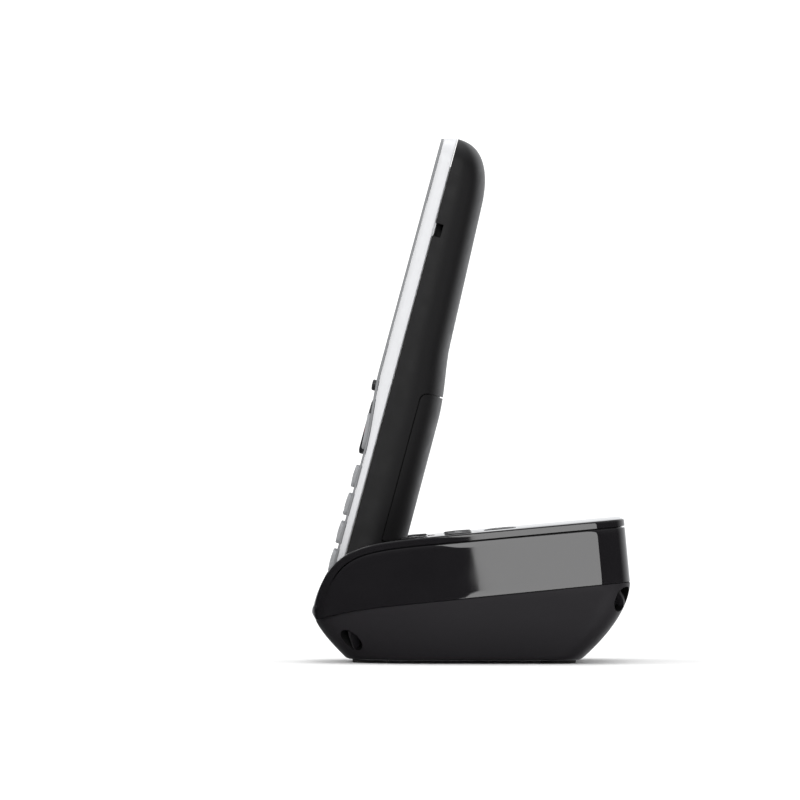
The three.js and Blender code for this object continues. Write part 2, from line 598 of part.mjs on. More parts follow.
function backShell() {
  const outer = backSolid(0, HAND.seamGap);
  const { half, low, high, floor, deckFront, ridge, ridgeTop, deckLow, deckHigh } = CELL_BAY;
  const deck = box(-30, 30, deckFront, 40, deckLow, deckHigh);
  let shell = outer.subtract(backSolid(HAND.wall, -3)).add(outer.intersect(deck));
  shell = shell.subtract(coverRegion(COVER.gap, COVER.topGap));
  const lip = box(-30, 30, floor, 40, COVER.lipLow, deckHigh);
  shell = shell.add(backSolid(COVER.lipInset, -3).intersect(lip));
  for (const x of [-half - ridge, half]) {
    shell = shell.add(box(x, x + ridge, floor, ridgeTop, deckLow + 1, deckHigh));
  }
  shell = shell.subtract(box(-half, half, floor, 40, low, high));
  for (const side of [-1, 1]) {
    const [near, far] = [side * (half + 1.4), side * 22];
    shell = shell.subtract(box(Math.min(near, far), Math.max(near, far), 0, 9, low + 4, 60));
    const { x, z, head, shank, headY, gap } = HANDSET_SCREW;
    shell = shell.subtract(rod(shank + gap, at(side * x, 0, z), at(side * x, 20, z), 10));
    shell = shell.subtract(rod(head + gap, at(side * x, headY - gap, z), at(side * x, 20, z), 14));
    const pad = CONTACT.x * side;
    shell = shell.subtract(box(pad - 2.5, pad + 2.5, CONTACT.y - 4.3, CONTACT.y + 4.3, -1, 3));
  }
  shell = shell.subtract(box(20, 30, -1, HEADSET.high, HEADSET.z - HEADSET.half, HEADSET.z + HEADSET.half));
  for (let i = -2; i <= 2; i += 1) {
    const slot = roundedRectangle(RINGER.slotLength, RINGER.slot, RINGER.slot / 2 - 0.05, 2);
    shell = shell.subtract(frontPrism(moved(slot, 0, RINGER.z + i * RINGER.pitch), 8, 30));
  }
  return mesh('handset_back_shell', shell, ...SATIN_BLACK);
}

function batteryCover() {
  const rebate = backSolid(COVER.rebateWall, -3).intersect(box(-30, 30, 0, 40, COVER.rebateLow, 80));
  const skin = backSolid(0, HAND.seamGap).subtract(backSolid(COVER.wall, -3)).subtract(rebate);
  return mesh('battery_cover', skin.intersect(coverRegion(0, 0)), ...SATIN_BLACK);
}

// Cuts the top end level with the table, so it slopes along the tilted handset.
function levelEnd(solid) {
  const endZ = (y) => HAND.length + y * HAND.endSlope;
  return solid.subtract(sidePrism([[-9, endZ(-9)], [3, endZ(3)], [3, 170], [-9, 170]].map(
    ([y, z]) => new THREE.Vector2(y, z),
  ), 30));
}

// The bright band round the sides, with a tongue inside the seam that keeps light and dust out.
function silverFrame() {
  const ring = frontPrism(handsetOutline(0), -9, -HAND.seamGap).subtract(
    frontPrism(handsetOutline(HAND.frameWall), -10, 1),
  );
  let frame = ring.intersect(frontLayer(() => -1, bandDepth));
  const { outer, inner, root, front, back, low, high } = TONGUE;
  for (const side of [-1, 1]) {
    const span = (a, b) => [Math.min(side * a, side * b), Math.max(side * a, side * b)];
    frame = frame.add(box(...span(inner, root), front, -HAND.seamGap, low, high));
    frame = frame.add(box(...span(inner, outer), front, back, low, high));
  }
  return mesh('silver_frame', levelEnd(frame), ...SILVER);
}

const WINDOW = { width: 40, low: 87, high: 137, corner: 2.5, gap: 0.25 };
const windowOutline = (extra) => moved(
  roundedRectangle(WINDOW.width + 2 * extra, WINDOW.high - WINDOW.low + 2 * extra, WINDOW.corner + extra),
  0,
  (WINDOW.low + WINDOW.high) / 2,
);
const EARPIECE = { z: 147.5, radius: 6.5, back: -0.9, slotWidth: 13, slotHeight: 1.8 };

const NUMBER_NAMES = ['1', '2', '3', '4', '5', '6', '7', '8', '9', 'star', '0', 'hash'];
const NUMBER_KEYS = NUMBER_NAMES.map((name, i) => ({
  name: `key_${name}`,
  x: ((i % 3) - 1) * NUMBER_KEY.pitchX,
  z: NUMBER_KEY.topRowZ - Math.floor(i / 3) * NUMBER_KEY.pitchZ,
  width: NUMBER_KEY.width,
  height: NUMBER_KEY.height,
  corner: KEY.corner,
  proud: KEY.numberProud,
  look: SILVER,
}));
const CALL_KEYS = [['key_talk', -1], ['key_end', 1]].map(([name, side]) => ({
  ...CALL_KEY, name, x: side * CALL_KEY.x, proud: KEY.callProud, look: SILVER,
}));
const SOFT_KEYS = [['key_soft_left', -1], ['key_soft_right', 1]].map(([name, side]) => ({
  ...SOFT_KEY, name, x: side * SOFT_KEY.x, proud: KEY.softProud, look: SATIN_BLACK,
}));
const HANDSET_KEYS = [...NUMBER_KEYS, ...CALL_KEYS, ...SOFT_KEYS];

const keyOutline = (key, extra) => moved(
  roundedRectangle(key.width + 2 * extra, key.height + 2 * extra, key.corner + extra),
  key.x,
  key.z,
);

// A key whose front follows the curve of the face.
function handsetKey(key) {
  const front = -faceDepth(key.z) - key.proud;
  const solid = frontPrism(keyOutline(key, 0), front, KEY.innerEnd);
  const geometry = geometryOf(solid);
  const position = geometry.attributes.position;
  for (let i = 0; i < position.count; i += 1) {
    const onFront = position.getY(i) < front + 0.01;
    if (onFront) position.setY(i, -faceDepth(position.getZ(i)) - key.proud);
  }
  return mesh(key.name, solidOf(geometry), ...key.look);
}

function navigationKey() {
  const { radius, z, proud } = NAV_KEY;
  const front = -faceDepth(z) - proud;
  const crown = [
    [0, 0.5], [radius * 0.42, 0.5], [radius * 0.5, 0.1], [radius * 0.75, -0.25],
    [radius * 0.94, 0], [radius, 0.5],
    [radius, KEY.innerEnd - front], [0, KEY.innerEnd - front],
  ].map(([r, depth]) => new THREE.Vector2(r, depth));
  const geometry = new THREE.LatheGeometry(crown, 28).translate(0, front, z);
  return mesh('key_navigation', solidOf(geometry), 0x161618, 0.25);
}

function frontPanel() {
  const plate = frontPrism(handsetOutline(0.05), -9, 0);
  let panel = plate.intersect(frontLayer((z) => bandDepth(z) + 0.15, faceDepth));
  for (const key of HANDSET_KEYS) {
    panel = panel.subtract(frontPrism(keyOutline(key, KEY.clearance), -9, 1));
  }
  panel = panel.subtract(rod(NAV_KEY.radius + 0.35, at(0, -9, NAV_KEY.z), at(0, 1, NAV_KEY.z), 28));
  panel = panel.subtract(frontPrism(windowOutline(WINDOW.gap), -9, 1));
  const slot = roundedRectangle(EARPIECE.slotWidth, EARPIECE.slotHeight, EARPIECE.slotHeight / 2 - 0.05);
  panel = panel.subtract(frontPrism(moved(slot, 0, EARPIECE.z), -9, 1));
  panel = panel.subtract(rod(0.6, at(0, -9, 4), at(0, 1, 4), 8));
  return mesh('front_panel', levelEnd(panel), 0x85878a, 0.4, 0.4);
}

const displayWindow = () => mesh(
  'display_window',
  frontPrism(windowOutline(0), -HAND.headFace + 0.05, -HAND.headBand - 0.15),
  0x0a0c10,
  0.05,
);
const displayModule = () => mesh('display_module', box(-21, 21, -3.6, -0.5, 85, 139.5), 0x3c4450, 0.4);
const keypadMat = () => mesh('keypad_mat', box(-22, 22, -0.6, 0.4, 5.5, 80), 0x9a9c9e, 0.8);

function handsetPcb() {
  const board = box(-21.5, 21.5, 0.75, 1.95, 6, 150);
  const { z, depth, right } = HEADSET;
  const notch = box(right - depth - 0.4, 30, 0, 3, z - 4.2, z + 4.2);
  return mesh('handset_pcb', board.subtract(notch), 0x1e5a38, 0.5);
}

function headsetSocket() {
  const { z, half, low, high, depth, right } = HEADSET;
  const body = box(right - depth, right, low - 0.1, high + 1.2, z - half - 1.4, z + half + 1.4);
  return mesh('headset_socket', body.subtract(
    box(right - depth + 2, right + 1, low + 0.4, high, z - half, z + half),
  ), 0x0c0c0d, 0.6);
}

function disc(name, radius, z, front, back, look, segments = 20) {
  return mesh(name, rod(radius, at(0, front, z), at(0, back, z), segments), ...look);
}
const earpiece = () => disc('earpiece', EARPIECE.radius, EARPIECE.z, -3.6, EARPIECE.back, [0x4a4a4c, 0.5]);
const ringer = () => disc('ringer_speaker', RINGER.radius, RINGER.z, RINGER.y, RINGER.y + RINGER.thickness,
  [0x3a3a3c, 0.6]);
const microphone = () => disc('microphone', 2.8, 11, 2.2, 4.1, [0x8a8a8c, 0.4, 0.8], 14);

function batteryCell(side) {
  const { radius, length, x, y, bottom } = CELL;
  const profile = [
    [0, 0], [radius - 0.4, 0], [radius, 0.4], [radius, length - 1.6], [radius - 0.4, length - 1.2],
    [1.9, length - 1.2], [1.9, length], [0, length],
  ].map(([r, z]) => new THREE.Vector2(r, z));
  const geometry = new THREE.LatheGeometry(profile, 20).rotateX(Math.PI / 2);
  if (side > 0) geometry.rotateX(Math.PI).translate(0, 0, length);
  geometry.translate(side * x, y, bottom);
  return mesh(`battery_cell_${side < 0 ? 'left' : 'right'}`, solidOf(geometry), 0x3f7f4c, 0.35);
}

const batteryLink = () => mesh('battery_link', box(-10, 10, 7.5, 15.5, 25.3, 26.1), ...METAL);

function handsetScrew(side) {
  const { x, z, head, shank, headY, tipY } = HANDSET_SCREW;
  const solid = rod(head, at(side * x, headY, z), at(side * x, headY + 1.3, z), 12).add(
    rod(shank, at(side * x, tipY, z), at(side * x, headY + 1, z), 10),
  );
  return mesh(`handset_screw_${side < 0 ? 'left' : 'right'}`, solid, ...METAL);
}

// ---- Assembly ----
const phone = new THREE.Group();
phone.add(lowerHousing(), upperHousing(), topCover(), cradleTray());
phone.add(loudspeaker(), lineSocket(), powerSocket());
phone.add(...FEET.map(foot), ...BASE_SCREWS.map(baseScrew));

const topGroup = new THREE.Group();
topGroup.position.set(0, 0, topZ(0));
topGroup.rotation.x = BASE.topSlope;
topGroup.add(...BASE_KEYS.map(baseKey), messageLight(), baseKeyMat(), basePcb());
phone.add(topGroup);

const handset = new THREE.Group();
handset.position.copy(HANDSET_FOOT);
handset.rotation.x = -TILT;
handset.add(backShell(), batteryCover(), silverFrame(), frontPanel(), displayWindow(), displayModule());
handset.add(...HANDSET_KEYS.map(handsetKey), navigationKey(), keypadMat(), handsetPcb(), headsetSocket());
handset.add(earpiece(), ringer(), microphone(), batteryLink());
for (const side of [-1, 1]) {
  const contact = mesh(`charge_contact_${side < 0 ? 'left' : 'right'}`, contactSolid(side, 0), ...METAL);
  handset.add(contact, chargePad(side), batteryCell(side), handsetScrew(side));
}
phone.add(handset);

export default phone;
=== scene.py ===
"""Cordless telephone in its charging base: the visible shells, keys and materials around the CAD frame.

Lengths in this script are millimetres until a mesh is made; MM turns them into metres. The handset is
built along its own axis (x across, y from front to back with 0 on the casing seam, z up from its bottom
end) and then placed.
"""
import math

import bmesh
import bpy
import numpy as np
from mathutils import Matrix, Vector


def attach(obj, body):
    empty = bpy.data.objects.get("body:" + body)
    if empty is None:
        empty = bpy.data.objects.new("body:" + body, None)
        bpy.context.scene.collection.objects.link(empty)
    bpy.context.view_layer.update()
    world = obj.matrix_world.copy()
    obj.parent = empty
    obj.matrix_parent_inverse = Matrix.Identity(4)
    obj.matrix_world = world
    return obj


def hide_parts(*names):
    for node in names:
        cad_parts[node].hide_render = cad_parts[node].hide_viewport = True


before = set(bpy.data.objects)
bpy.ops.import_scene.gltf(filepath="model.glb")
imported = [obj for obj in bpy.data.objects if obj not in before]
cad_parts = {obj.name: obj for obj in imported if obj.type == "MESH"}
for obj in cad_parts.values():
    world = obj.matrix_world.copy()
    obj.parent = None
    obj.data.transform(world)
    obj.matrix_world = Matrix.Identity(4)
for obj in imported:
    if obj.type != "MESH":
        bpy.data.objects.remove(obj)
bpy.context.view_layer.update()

MM = 0.001

# ---- Dimensions shared with the CAD model ----
HALF_LENGTH, HALF_WIDTH, REAR_CORNER, FRONT_POWER = 53.8, 48.0, 10.0, 2.8
FLOOR_Z, BASE_WALL, TOP_SLOPE = 1.1, 2.2, math.radians(5.35)
COVER_THICKNESS, GROOVE, COVER_FRONT_Z = 2.4, 0.5, 19.1
NOSE_TOP, NOSE_KNEE, NOSE_TIP = np.array([-12.1, 43.0]), np.array([-48.2, 30.5]), np.array([-53.8, 16.9])
WALL_LOW, WALL_HIGH = (55.46, 48.5, 10), (51.5, 46.9, 52)  # rear, half width and z of the drafted wall
RIM_FRONT, SOLE_FRONT, SOLE_REAR, SOLE_HALF, SOLE_CORNER = 52.4, 41.7, 37.2, 37, 9
TILT = math.radians(15.1)
HANDSET_FOOT = Vector((0, -45.81, 22.8))
HAND_LENGTH, HAND_HALF, TOP_CORNER, BOTTOM_CORNER = 160.0, 25.0, 8.0, 5.0
SEAM_GAP, HAND_WALL, FRAME_WALL = 0.15, 1.7, 1.8
POCKET_GAP, POCKET_WALL, POCKET_DEPTH, LIP = 0.55, 1.5, 0.55, 4.5
END_SLOPE = 0.27
TONGUE_INNER, TONGUE_STEP, TONGUE_OUTER = 22.5, 23.1, 23.6
TONGUE_FRONT, TONGUE_REAR, TONGUE_LOW, TONGUE_HIGH = -1.1, 0.45, 8, 150
COVER_SEAM, COVER_HIGH, COVER_CORNER = 10.65, 73.8, 2.5
COVER_GAP, COVER_TOP_GAP, REBATE_LOW = 0.3, 0.42, 72.6
HINGE_Y, HINGE_Z, COVER_LOW_SLOPE, COVER_LOW_CORNER = 19.0, 24.65, 0.325, 1.2
DECK_Y, DECK_LOW, DECK_HIGH, RIDGE_Y, LIP_LOW = 4.4, 20.4, 75.9, 5.7, 72.9
BAY_HALF, BAY_LOW, BAY_HIGH, RIDGE_X, RIDGE_WIDTH = 11.8, 25, 72.4, (-13, 11.8), 1.2
ACROSS, BEHIND, INSIDE = (-30, 30), 40, -3  # planes that lie past the handset's sides, back and inner face
CHARGE_PAD_X, PAD_HALF, PAD_Y = 14, 2.5, (3.7, 12.3)
CONTACT_HALF, CONTACT_Y = 1.7, (4.7, 11.3)
HANDSET_SCREW = (18, 67)
HEADSET_OPENING = (20, 30), (-1, 2.95), (126, 130.6)
RINGER_SLOT, RINGER_Z, RINGER_PITCH = (14, 1.4, 0.65), 96, 3.2

KEY_BOTTOM, KEY_GAP, HANDSET_CROWN, CAP_FILLET = 1.5, 0.3, 0.12, 0.45
KEY_PITCH_X, KEY_PITCH_Z, TOP_ROW_Z = 15, 9.85, 40.75
NUMBER_KEY, CALL_KEY, SOFT_KEY = (13, 7.5, 1.6, 1.4), (9.5, 12.2, 3, 1.2), (14, 3.7, 1.4, 1.3)
NAV_Z, NAV_PROUD, NAV_RADIUS, NAV_HOLE = 58.1, 1.1, 9.6, 9.95
WINDOW, WINDOW_Z, WINDOW_GAP, WINDOW_TOP = (40, 50, 2.5), 112, 0.25, 5.32
EAR_SLOT, EAR_Z, MICROPHONE_RADIUS, MICROPHONE_Z = (13, 1.8, 0.85), 147.5, 0.6, 4
LEGEND_RISE, LEGEND_ROOT = 0.04, 0.15

BASE_KEY_PROUD, BASE_KEY_BOTTOM, LIGHT_SLOT, LIGHT_Y = 0.5, -5, (9.6, 2.8, 1.3), -13.2
BASE_KEYS = {  # x, y, width, length and corner radius
    "volume_down": (-34, -19.1, 14, 9, 3), "volume_up": (34, -19.1, 14, 9, 3),
    "skip_back": (-34, -4.1, 14, 9, 3), "skip_forward": (34, -4.1, 14, 9, 3),
    "locate": (0, -4.1, 14, 9, 3), "play": (0, 10.3, 26, 10.4, 4.4),
}
PORTS = (  # centre, outward direction and turn of the rib, on the right side
    ((30.4, -40.8, 7.2), (0.5, -0.63, -0.6), 23),
    ((42, 51.6, 21.8), (0.46, 0.85, -0.25), -54),
)
PORT_RADIUS, PORT_DEPTH, RIB = 4.5, 9.0, 0.8
FEET = {
    "front_left": (-15, -33.85), "front_right": (15, -33.85),
    "rear_left": (-27, 29.75), "rear_right": (27, 29.75),
}
FOOT_RADIUS, FOOT_HEIGHT, FOOT_ROOM = 5.95, 1.7, 0.2
SPEAKER_SLOT, SPEAKER_Y, SPEAKER_PITCH = (2.4, 24, 1.15), 10, 6
REAR_OPENINGS = ((12, 6.35, 13.45, 22.55), (-14, 4.95, 13.05, 22.95))  # x, half width, bottom and top
BASE_SCREW_X, SCREW_RADIUS, SCREW_DEPTH = 30, 3.1, 4.2

HANDSET = Matrix.Translation(HANDSET_FOOT) @ Matrix.Rotation(-TILT, 4, "X")
TOP_Z = NOSE_TOP[1] - NOSE_TOP[0] * math.tan(TOP_SLOPE)
TOP_PLANE = Matrix.Translation((0, 0, TOP_Z)) @ Matrix.Rotation(TOP_SLOPE, 4, "X")
IDENTITY = Matrix.Identity(4)


# ---- Mesh tools ----
def new_object(name, vertices, faces, place=IDENTITY):
    """A mesh object from millimetre vertices, placed and turned into metres."""
    mesh = bpy.data.meshes.new(name)
    mesh.from_pydata([tuple(v) for v in vertices], [], faces)
    mesh.transform(Matrix.Scale(MM, 4) @ place)
    mesh.validate()
    piece = bpy.data.objects.new(name, mesh)
    bpy.context.scene.collection.objects.link(piece)
    return piece


def stack_faces(levels, count, closed=False):
    faces = []
    for level in range(levels if closed else levels - 1):
        above = (level + 1) % levels
        for i in range(count):
            j = (i + 1) % count
            faces.append((level * count + i, level * count + j, above * count + j, above * count + i))
    return faces


def strip_cap(start, count, flip):
    """Closes a mirror-symmetric ring with strips that run straight across from left to right."""
    faces = []
    for i in range(count // 2):
        right, right_next = start + i, start + i + 1
        left, left_next = start + (count - i) % count, start + count - i - 1
        corners = [right, right_next, left_next, left]
        unique = list(dict.fromkeys(corners))
        faces.append(tuple(unique[::-1] if flip else unique))
    return faces


def solid(name, rings, place=IDENTITY):
    """A closed body from a stack of mirror-symmetric rings, capped at both ends."""
    count = len(rings[0])
    faces = stack_faces(len(rings), count)
    faces += strip_cap(0, count, True) + strip_cap((len(rings) - 1) * count, count, False)
    return new_object(name, np.concatenate(rings), faces, place)


def hoop(name, rings, place=IDENTITY):
    """A closed band: the rings go once round its section."""
    return new_object(name, np.concatenate(rings), stack_faces(len(rings), len(rings[0]), True), place)


def lathe(name, profile, place=IDENTITY, segments=64):
    """Turns (radius, height) points round z; the profile starts and ends on the axis."""
    angles = np.linspace(0, 2 * math.pi, segments, endpoint=False)
    inner = profile[1:-1]
    vertices = [(0, 0, profile[0][1])]
    for radius, height in inner:
        vertices += [(radius * math.cos(a), radius * math.sin(a), height) for a in angles]
    vertices.append((0, 0, profile[-1][1]))
    last = len(vertices) - 1
    faces = [(a + 1, b + 1, c + 1, d + 1) for a, b, c, d in stack_faces(len(inner), segments)]
    top = 1 + (len(inner) - 1) * segments
    for i in range(segments):
        j = (i + 1) % segments
        faces.append((0, 1 + j, 1 + i))
        faces.append((last, top + i, top + j))
    return new_object(name, vertices, faces, place)


def drill(radius, low, high, place=IDENTITY, segments=64):
    """A round tool along z."""
    return lathe("tool", [(0, low), (radius, low), (radius, high), (0, high)], place, segments)


def block(x, y, z, place=IDENTITY):
    corners = [(a, b, c) for c in z for b in y for a in x]
    faces = [(0, 2, 3, 1), (4, 5, 7, 6), (0, 1, 5, 4), (2, 6, 7, 3), (0, 4, 6, 2), (1, 3, 7, 5)]
    return new_object("tool", corners, faces, place)


def prism_faces(count):
    """Faces between an outline and its copy, and both ends."""
    return [tuple(range(count))[::-1], tuple(range(count, 2 * count)), *stack_faces(2, count)]


def prism(outline, low, high, place=IDENTITY):
    """A closed solid from any anticlockwise outline; low and high may differ from point to point."""
    x, y = outline
    vertices = np.vstack([ring3(x, y, low), ring3(x, y, high)])
    return new_object("prism", vertices, prism_faces(len(x)), place)


def combine(piece, tool, operation):
    """Cuts, joins or intersects piece with a closed tool, which is used up."""
    modifier = piece.modifiers.new("combine", "BOOLEAN")
    modifier.operation = operation
    modifier.object = tool
    modifier.solver = "MANIFOLD"
    graph = bpy.context.evaluated_depsgraph_get()
    result = bpy.data.meshes.new_from_object(piece.evaluated_get(graph))
    piece.modifiers.clear()
    old = piece.data
    piece.data = result
    result.name = old.name
    bpy.data.meshes.remove(old)
    bpy.data.objects.remove(tool)


def cut(piece, *tools):
    for tool in tools:
        combine(piece, tool, "DIFFERENCE")
    return piece


def finish_mesh(piece, rim=0.0, sharp=35):
    """Rounds the cut edges by rim millimetres and shades the rest smooth."""
    if rim:
        bevel = piece.modifiers.new("rim", "BEVEL")
        bevel.width = rim * MM
        bevel.segments = 2
        bevel.limit_method = "ANGLE"
        bevel.angle_limit = math.radians(sharp + 10)
    piece.data.shade_smooth()
    piece.data.set_sharp_from_angle(angle=math.radians(sharp))
    return piece


def put(piece, body, material, slot, *nodes):
    """The piece rides on a body, takes the given material and stands for CAD nodes. The slot argument is not
    used.
    """
    piece.data.materials.clear()
    piece.data.materials.append(material)
    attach(piece, body)
    if nodes:
        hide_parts(*nodes)
    return piece


def smoothstep(value, low, high):
    t = np.clip((value - low) / (high - low), 0, 1)
    return t * t * (3 - 2 * t)


def ring3(x, y, z):
    return np.column_stack([x, y, np.broadcast_to(z, x.shape)])


# ---- Outlines ----
def bezier(a, b, c, d, steps):
    t = np.linspace(0, 1, steps)[:, None]
    return (1 - t) ** 3 * a + 3 * (1 - t) ** 2 * t * b + 3 * (1 - t) * t * t * c + t**3 * d


def top_curve():
    """Side outline of the top: nose tip, knee, then the straight slope past the rear edge."""
    knee, tip = np.array([0.573, 0.819]), np.array([0.284, 0.959])
    slope = np.array([math.cos(TOP_SLOPE), math.sin(TOP_SLOPE)])
    lower = bezier(NOSE_TIP, NOSE_TIP + 5 * tip, NOSE_KNEE - 5 * knee, NOSE_KNEE, 60)
    upper = bezier(NOSE_KNEE, NOSE_KNEE + 11 * knee, NOSE_TOP - 22 * slope, NOSE_TOP, 120)
    rear = NOSE_TOP + slope * np.linspace(0, 72, 73)[1:, None]
    return np.concatenate([lower, upper[1:], rear])


CURVE = top_curve()


def offset_curve(distance):
    along = np.gradient(CURVE, axis=0)
    along /= np.linalg.norm(along, axis=1)[:, None]
    return CURVE + distance * np.column_stack([along[:, 1], -along[:, 0]])


def top_height(y, below=0.0):
    curve = offset_curve(below)
    return np.interp(y, curve[:, 0], curve[:, 1])


def top_y(z):
    """The nose's y at a height, on the rising part of the curve."""
    curve = offset_curve(0)
    return np.interp(z, curve[:, 1], curve[:, 0])


def crease_height(y):
    """Height of the crease between the two housings; it dips towards the nose."""
    return 22.25 + 0.1 * y - 2.4 * np.maximum(0, (-18.7 - y) / 32.9) ** 3


def plan(front, rear, half, corner):
    """Plan outline of the base as x and y, starting at the front tip, then right, rear, left."""
    power = 2 / FRONT_POWER
    front_angle = np.linspace(0, math.pi / 2, 56)
    side = np.linspace(0, rear - corner, 14)[1:-1]
    corner_angle = np.linspace(0, math.pi / 2, 18)
    back = np.linspace(half - corner, 0, 12)[1:]
    x = np.concatenate([
        half * np.sin(front_angle) ** power, np.full(side.shape, half),
        half - corner + corner * np.cos(corner_angle), back,
    ])
    y = np.concatenate([
        -front * np.abs(np.cos(front_angle)) ** power, side,
        rear - corner + corner * np.sin(corner_angle), np.full(back.shape, rear),
    ])
    x[0] = x[-1] = 0
    return np.concatenate([x, -x[-2:0:-1]]), np.concatenate([y, y[-2:0:-1]])


def wall_ring(z, inset=0.0):
    """Plan outline of the drafted upper wall at a height per point."""
    (low_rear, low_half, low_z), (high_rear, high_half, high_z) = WALL_LOW, WALL_HIGH
    low = plan(HALF_LENGTH - inset, low_rear - inset, low_half - inset, REAR_CORNER - inset)
    high = plan(HALF_LENGTH - inset, high_rear - inset, high_half - inset, REAR_CORNER - inset)
    share = (z - low_z) / (high_z - low_z)
    return low[0] + (high[0] - low[0]) * share, low[1] + (high[1] - low[1]) * share


def wall_at_height(height_of_y, inset=0.0):
    """The wall outline where it meets a surface given as a height over y."""
    z = np.full(plan(1, 1, 1, 0.1)[0].shape, 40.0)
    for _ in range(6):
        x, y = wall_ring(z, inset)
        z = height_of_y(y)
    return x, y, z


def shrink(x, y, distance):
    """Moves a closed outline inwards along its normals."""
    dx, dy = np.roll(x, -1) - np.roll(x, 1), np.roll(y, -1) - np.roll(y, 1)
    length = np.hypot(dx, dy)
    length[length == 0] = 1
    new_x, new_y = x - dy / length * distance, y + dx / length * distance
    new_x[0] = new_x[len(x) // 2] = 0
    return new_x, new_y


def face_blend(z):
    return smoothstep(z, 49, 78)


def face_depth(z):
    return 3.2 + 2.17 * face_blend(z)


def band_depth(z):
    return 2.4 + 2.0 * face_blend(z)


def back_depth(z):
    grip, head = 18.8 - 0.0045 * z, 15.9 - 0.04 * (z - 88)
    middle = grip + (head - grip) * smoothstep(z, 66, 92)
    top, bottom = np.clip((z - 140) / 20, 0, 1), np.clip((6 - z) / 6, 0, 1)
    round_top = 0.07 + 0.93 * (1 - top**2.4) ** (1 / 2.4)
    return middle * round_top * (0.72 + 0.28 * np.sqrt(1 - bottom**2))


def half_width(z):
    over, under = np.maximum(0, z - (HAND_LENGTH - TOP_CORNER)), np.maximum(0, BOTTOM_CORNER - z)
    top = TOP_CORNER - np.sqrt(np.maximum(0, TOP_CORNER**2 - over**2))
    bottom = BOTTOM_CORNER - np.sqrt(np.maximum(0, BOTTOM_CORNER**2 - under**2))
    return HAND_HALF - top - bottom


def section(half, front, back, z, steps=40):
    """Rounded back section of the handset at one height; it starts in the middle of the flat front."""
    angle = np.linspace(0, math.pi / 2, steps)
    power = 2 / 3.4
    x = np.concatenate([[0], half * np.abs(np.cos(angle)) ** power])
    y = np.concatenate([[front], front + (back - front) * np.sin(angle) ** power])
    x[-1] = 0
    return ring3(np.concatenate([x, -x[-2:0:-1]]), np.concatenate([y, y[-2:0:-1]]), z)


def handset_outline(inset=0.0):
    """Front outline of the handset as x and z, mirror-symmetric, starting at the bottom middle."""
    half, low, high = HAND_HALF - inset, inset, HAND_LENGTH - inset
    top, bottom = TOP_CORNER - inset, BOTTOM_CORNER - inset
    angle = np.linspace(0, math.pi / 2, 16)
    side = np.linspace(low + bottom, high - top, 110)[1:-1]
    across = np.linspace(0, half - bottom, 8)[:-1]
    x = np.concatenate([
        across, half - bottom + bottom * np.sin(angle), np.full(side.shape, half),
        half - top + top * np.cos(angle), np.linspace(half - top, 0, 8)[1:],
    ])
    z = np.concatenate([
        np.full(across.shape, low), low + bottom - bottom * np.cos(angle), side,
        high - top + top * np.sin(angle), np.full(7, high),
    ])
    return np.concatenate([x, -x[-2:0:-1]]), np.concatenate([z, z[-2:0:-1]])


def rounded_rectangle(width, height, corner, steps=8):
    """Mirror-symmetric outline, starting at the bottom middle."""
    a, b = width / 2 - corner, height / 2 - corner
    angle = np.linspace(0, math.pi / 2, steps)
    x = np.concatenate([[0], a + corner * np.sin(angle), a + corner * np.cos(angle), [0]])
    y = np.concatenate([[-height / 2], -b - corner * np.cos(angle), b + corner * np.sin(angle), [height / 2]])
    return np.concatenate([x, -x[-2:0:-1]]), np.concatenate([y, y[-2:0:-1]])


def fillet_steps(count):
    """Inset and drop, as shares of the radius, along a rounded edge from its side to its top."""
    angles = [step / count * math.pi / 2 for step in range(count + 1)]
    return [(1 - math.cos(angle), 1 - math.sin(angle)) for angle in angles]


def flat_at(level):
    return lambda value: np.full(np.shape(value), level)


def shift(outline, dx, dy):
    return outline[0] + dx, outline[1] + dy


# ---- Materials ----
class Finish:
    """A Principled material with helpers for procedural detail in object space."""

    def __init__(self, name, color, roughness, metallic=0.0, **sockets):
        self.material = bpy.data.materials.new(name)
        self.material.use_nodes = True
        self.nodes, self.links = self.material.node_tree.nodes, self.material.node_tree.links
        self.shader = self.nodes["Principled BSDF"]
        self.set("Base Color", (*color, 1))
        self.set("Roughness", roughness)
        self.set("Metallic", metallic)
        for socket, value in sockets.items():
            self.set(socket.replace("_", " "), value)
        self.place = self.nodes.new("ShaderNodeTexCoord").outputs["Object"]

    def set(self, socket, value):
        self.shader.inputs[socket].default_value = value

    def noise(self, scale, detail):
        node = self.nodes.new("ShaderNodeTexNoise")
        node.inputs["Scale"].default_value = scale
        node.inputs["Detail"].default_value = detail
        self.links.new(self.place, node.inputs["Vector"])
        return node.outputs["Fac"]

    def ranged(self, value, low, high, start=0.3, end=0.7):
        node = self.nodes.new("ShaderNodeMapRange")
        for socket, number in zip(("From Min", "From Max", "To Min", "To Max"), (start, end, low, high)):
            node.inputs[socket].default_value = number
        self.links.new(value, node.inputs["Value"])
        return node.outputs["Result"]

    def vary_roughness(self, scale, low, high):
        self.links.new(self.ranged(self.noise(scale, 3), low, high), self.shader.inputs["Roughness"])

    def mix_colors(self, share, first, second):
        mix = self.nodes.new("ShaderNodeMix")
        mix.data_type = "RGBA"
        mix.inputs["A"].default_value = (*first, 1)
        mix.inputs["B"].default_value = (*second, 1)
        self.links.new(share, mix.inputs["Factor"])
        self.links.new(mix.outputs["Result"], self.shader.inputs["Base Color"])

    def vary_color(self, scale, dark, light):
        self.mix_colors(self.ranged(self.noise(scale, 3), 0, 1), dark, light)

    def grain(self, scale, strength, depth):
        bump = self.nodes.new("ShaderNodeBump")
        bump.inputs["Strength"].default_value = strength
        bump.inputs["Distance"].default_value = depth * MM
        self.links.new(self.noise(scale, 2), bump.inputs["Height"])
        self.links.new(bump.outputs["Normal"], self.shader.inputs["Normal"])


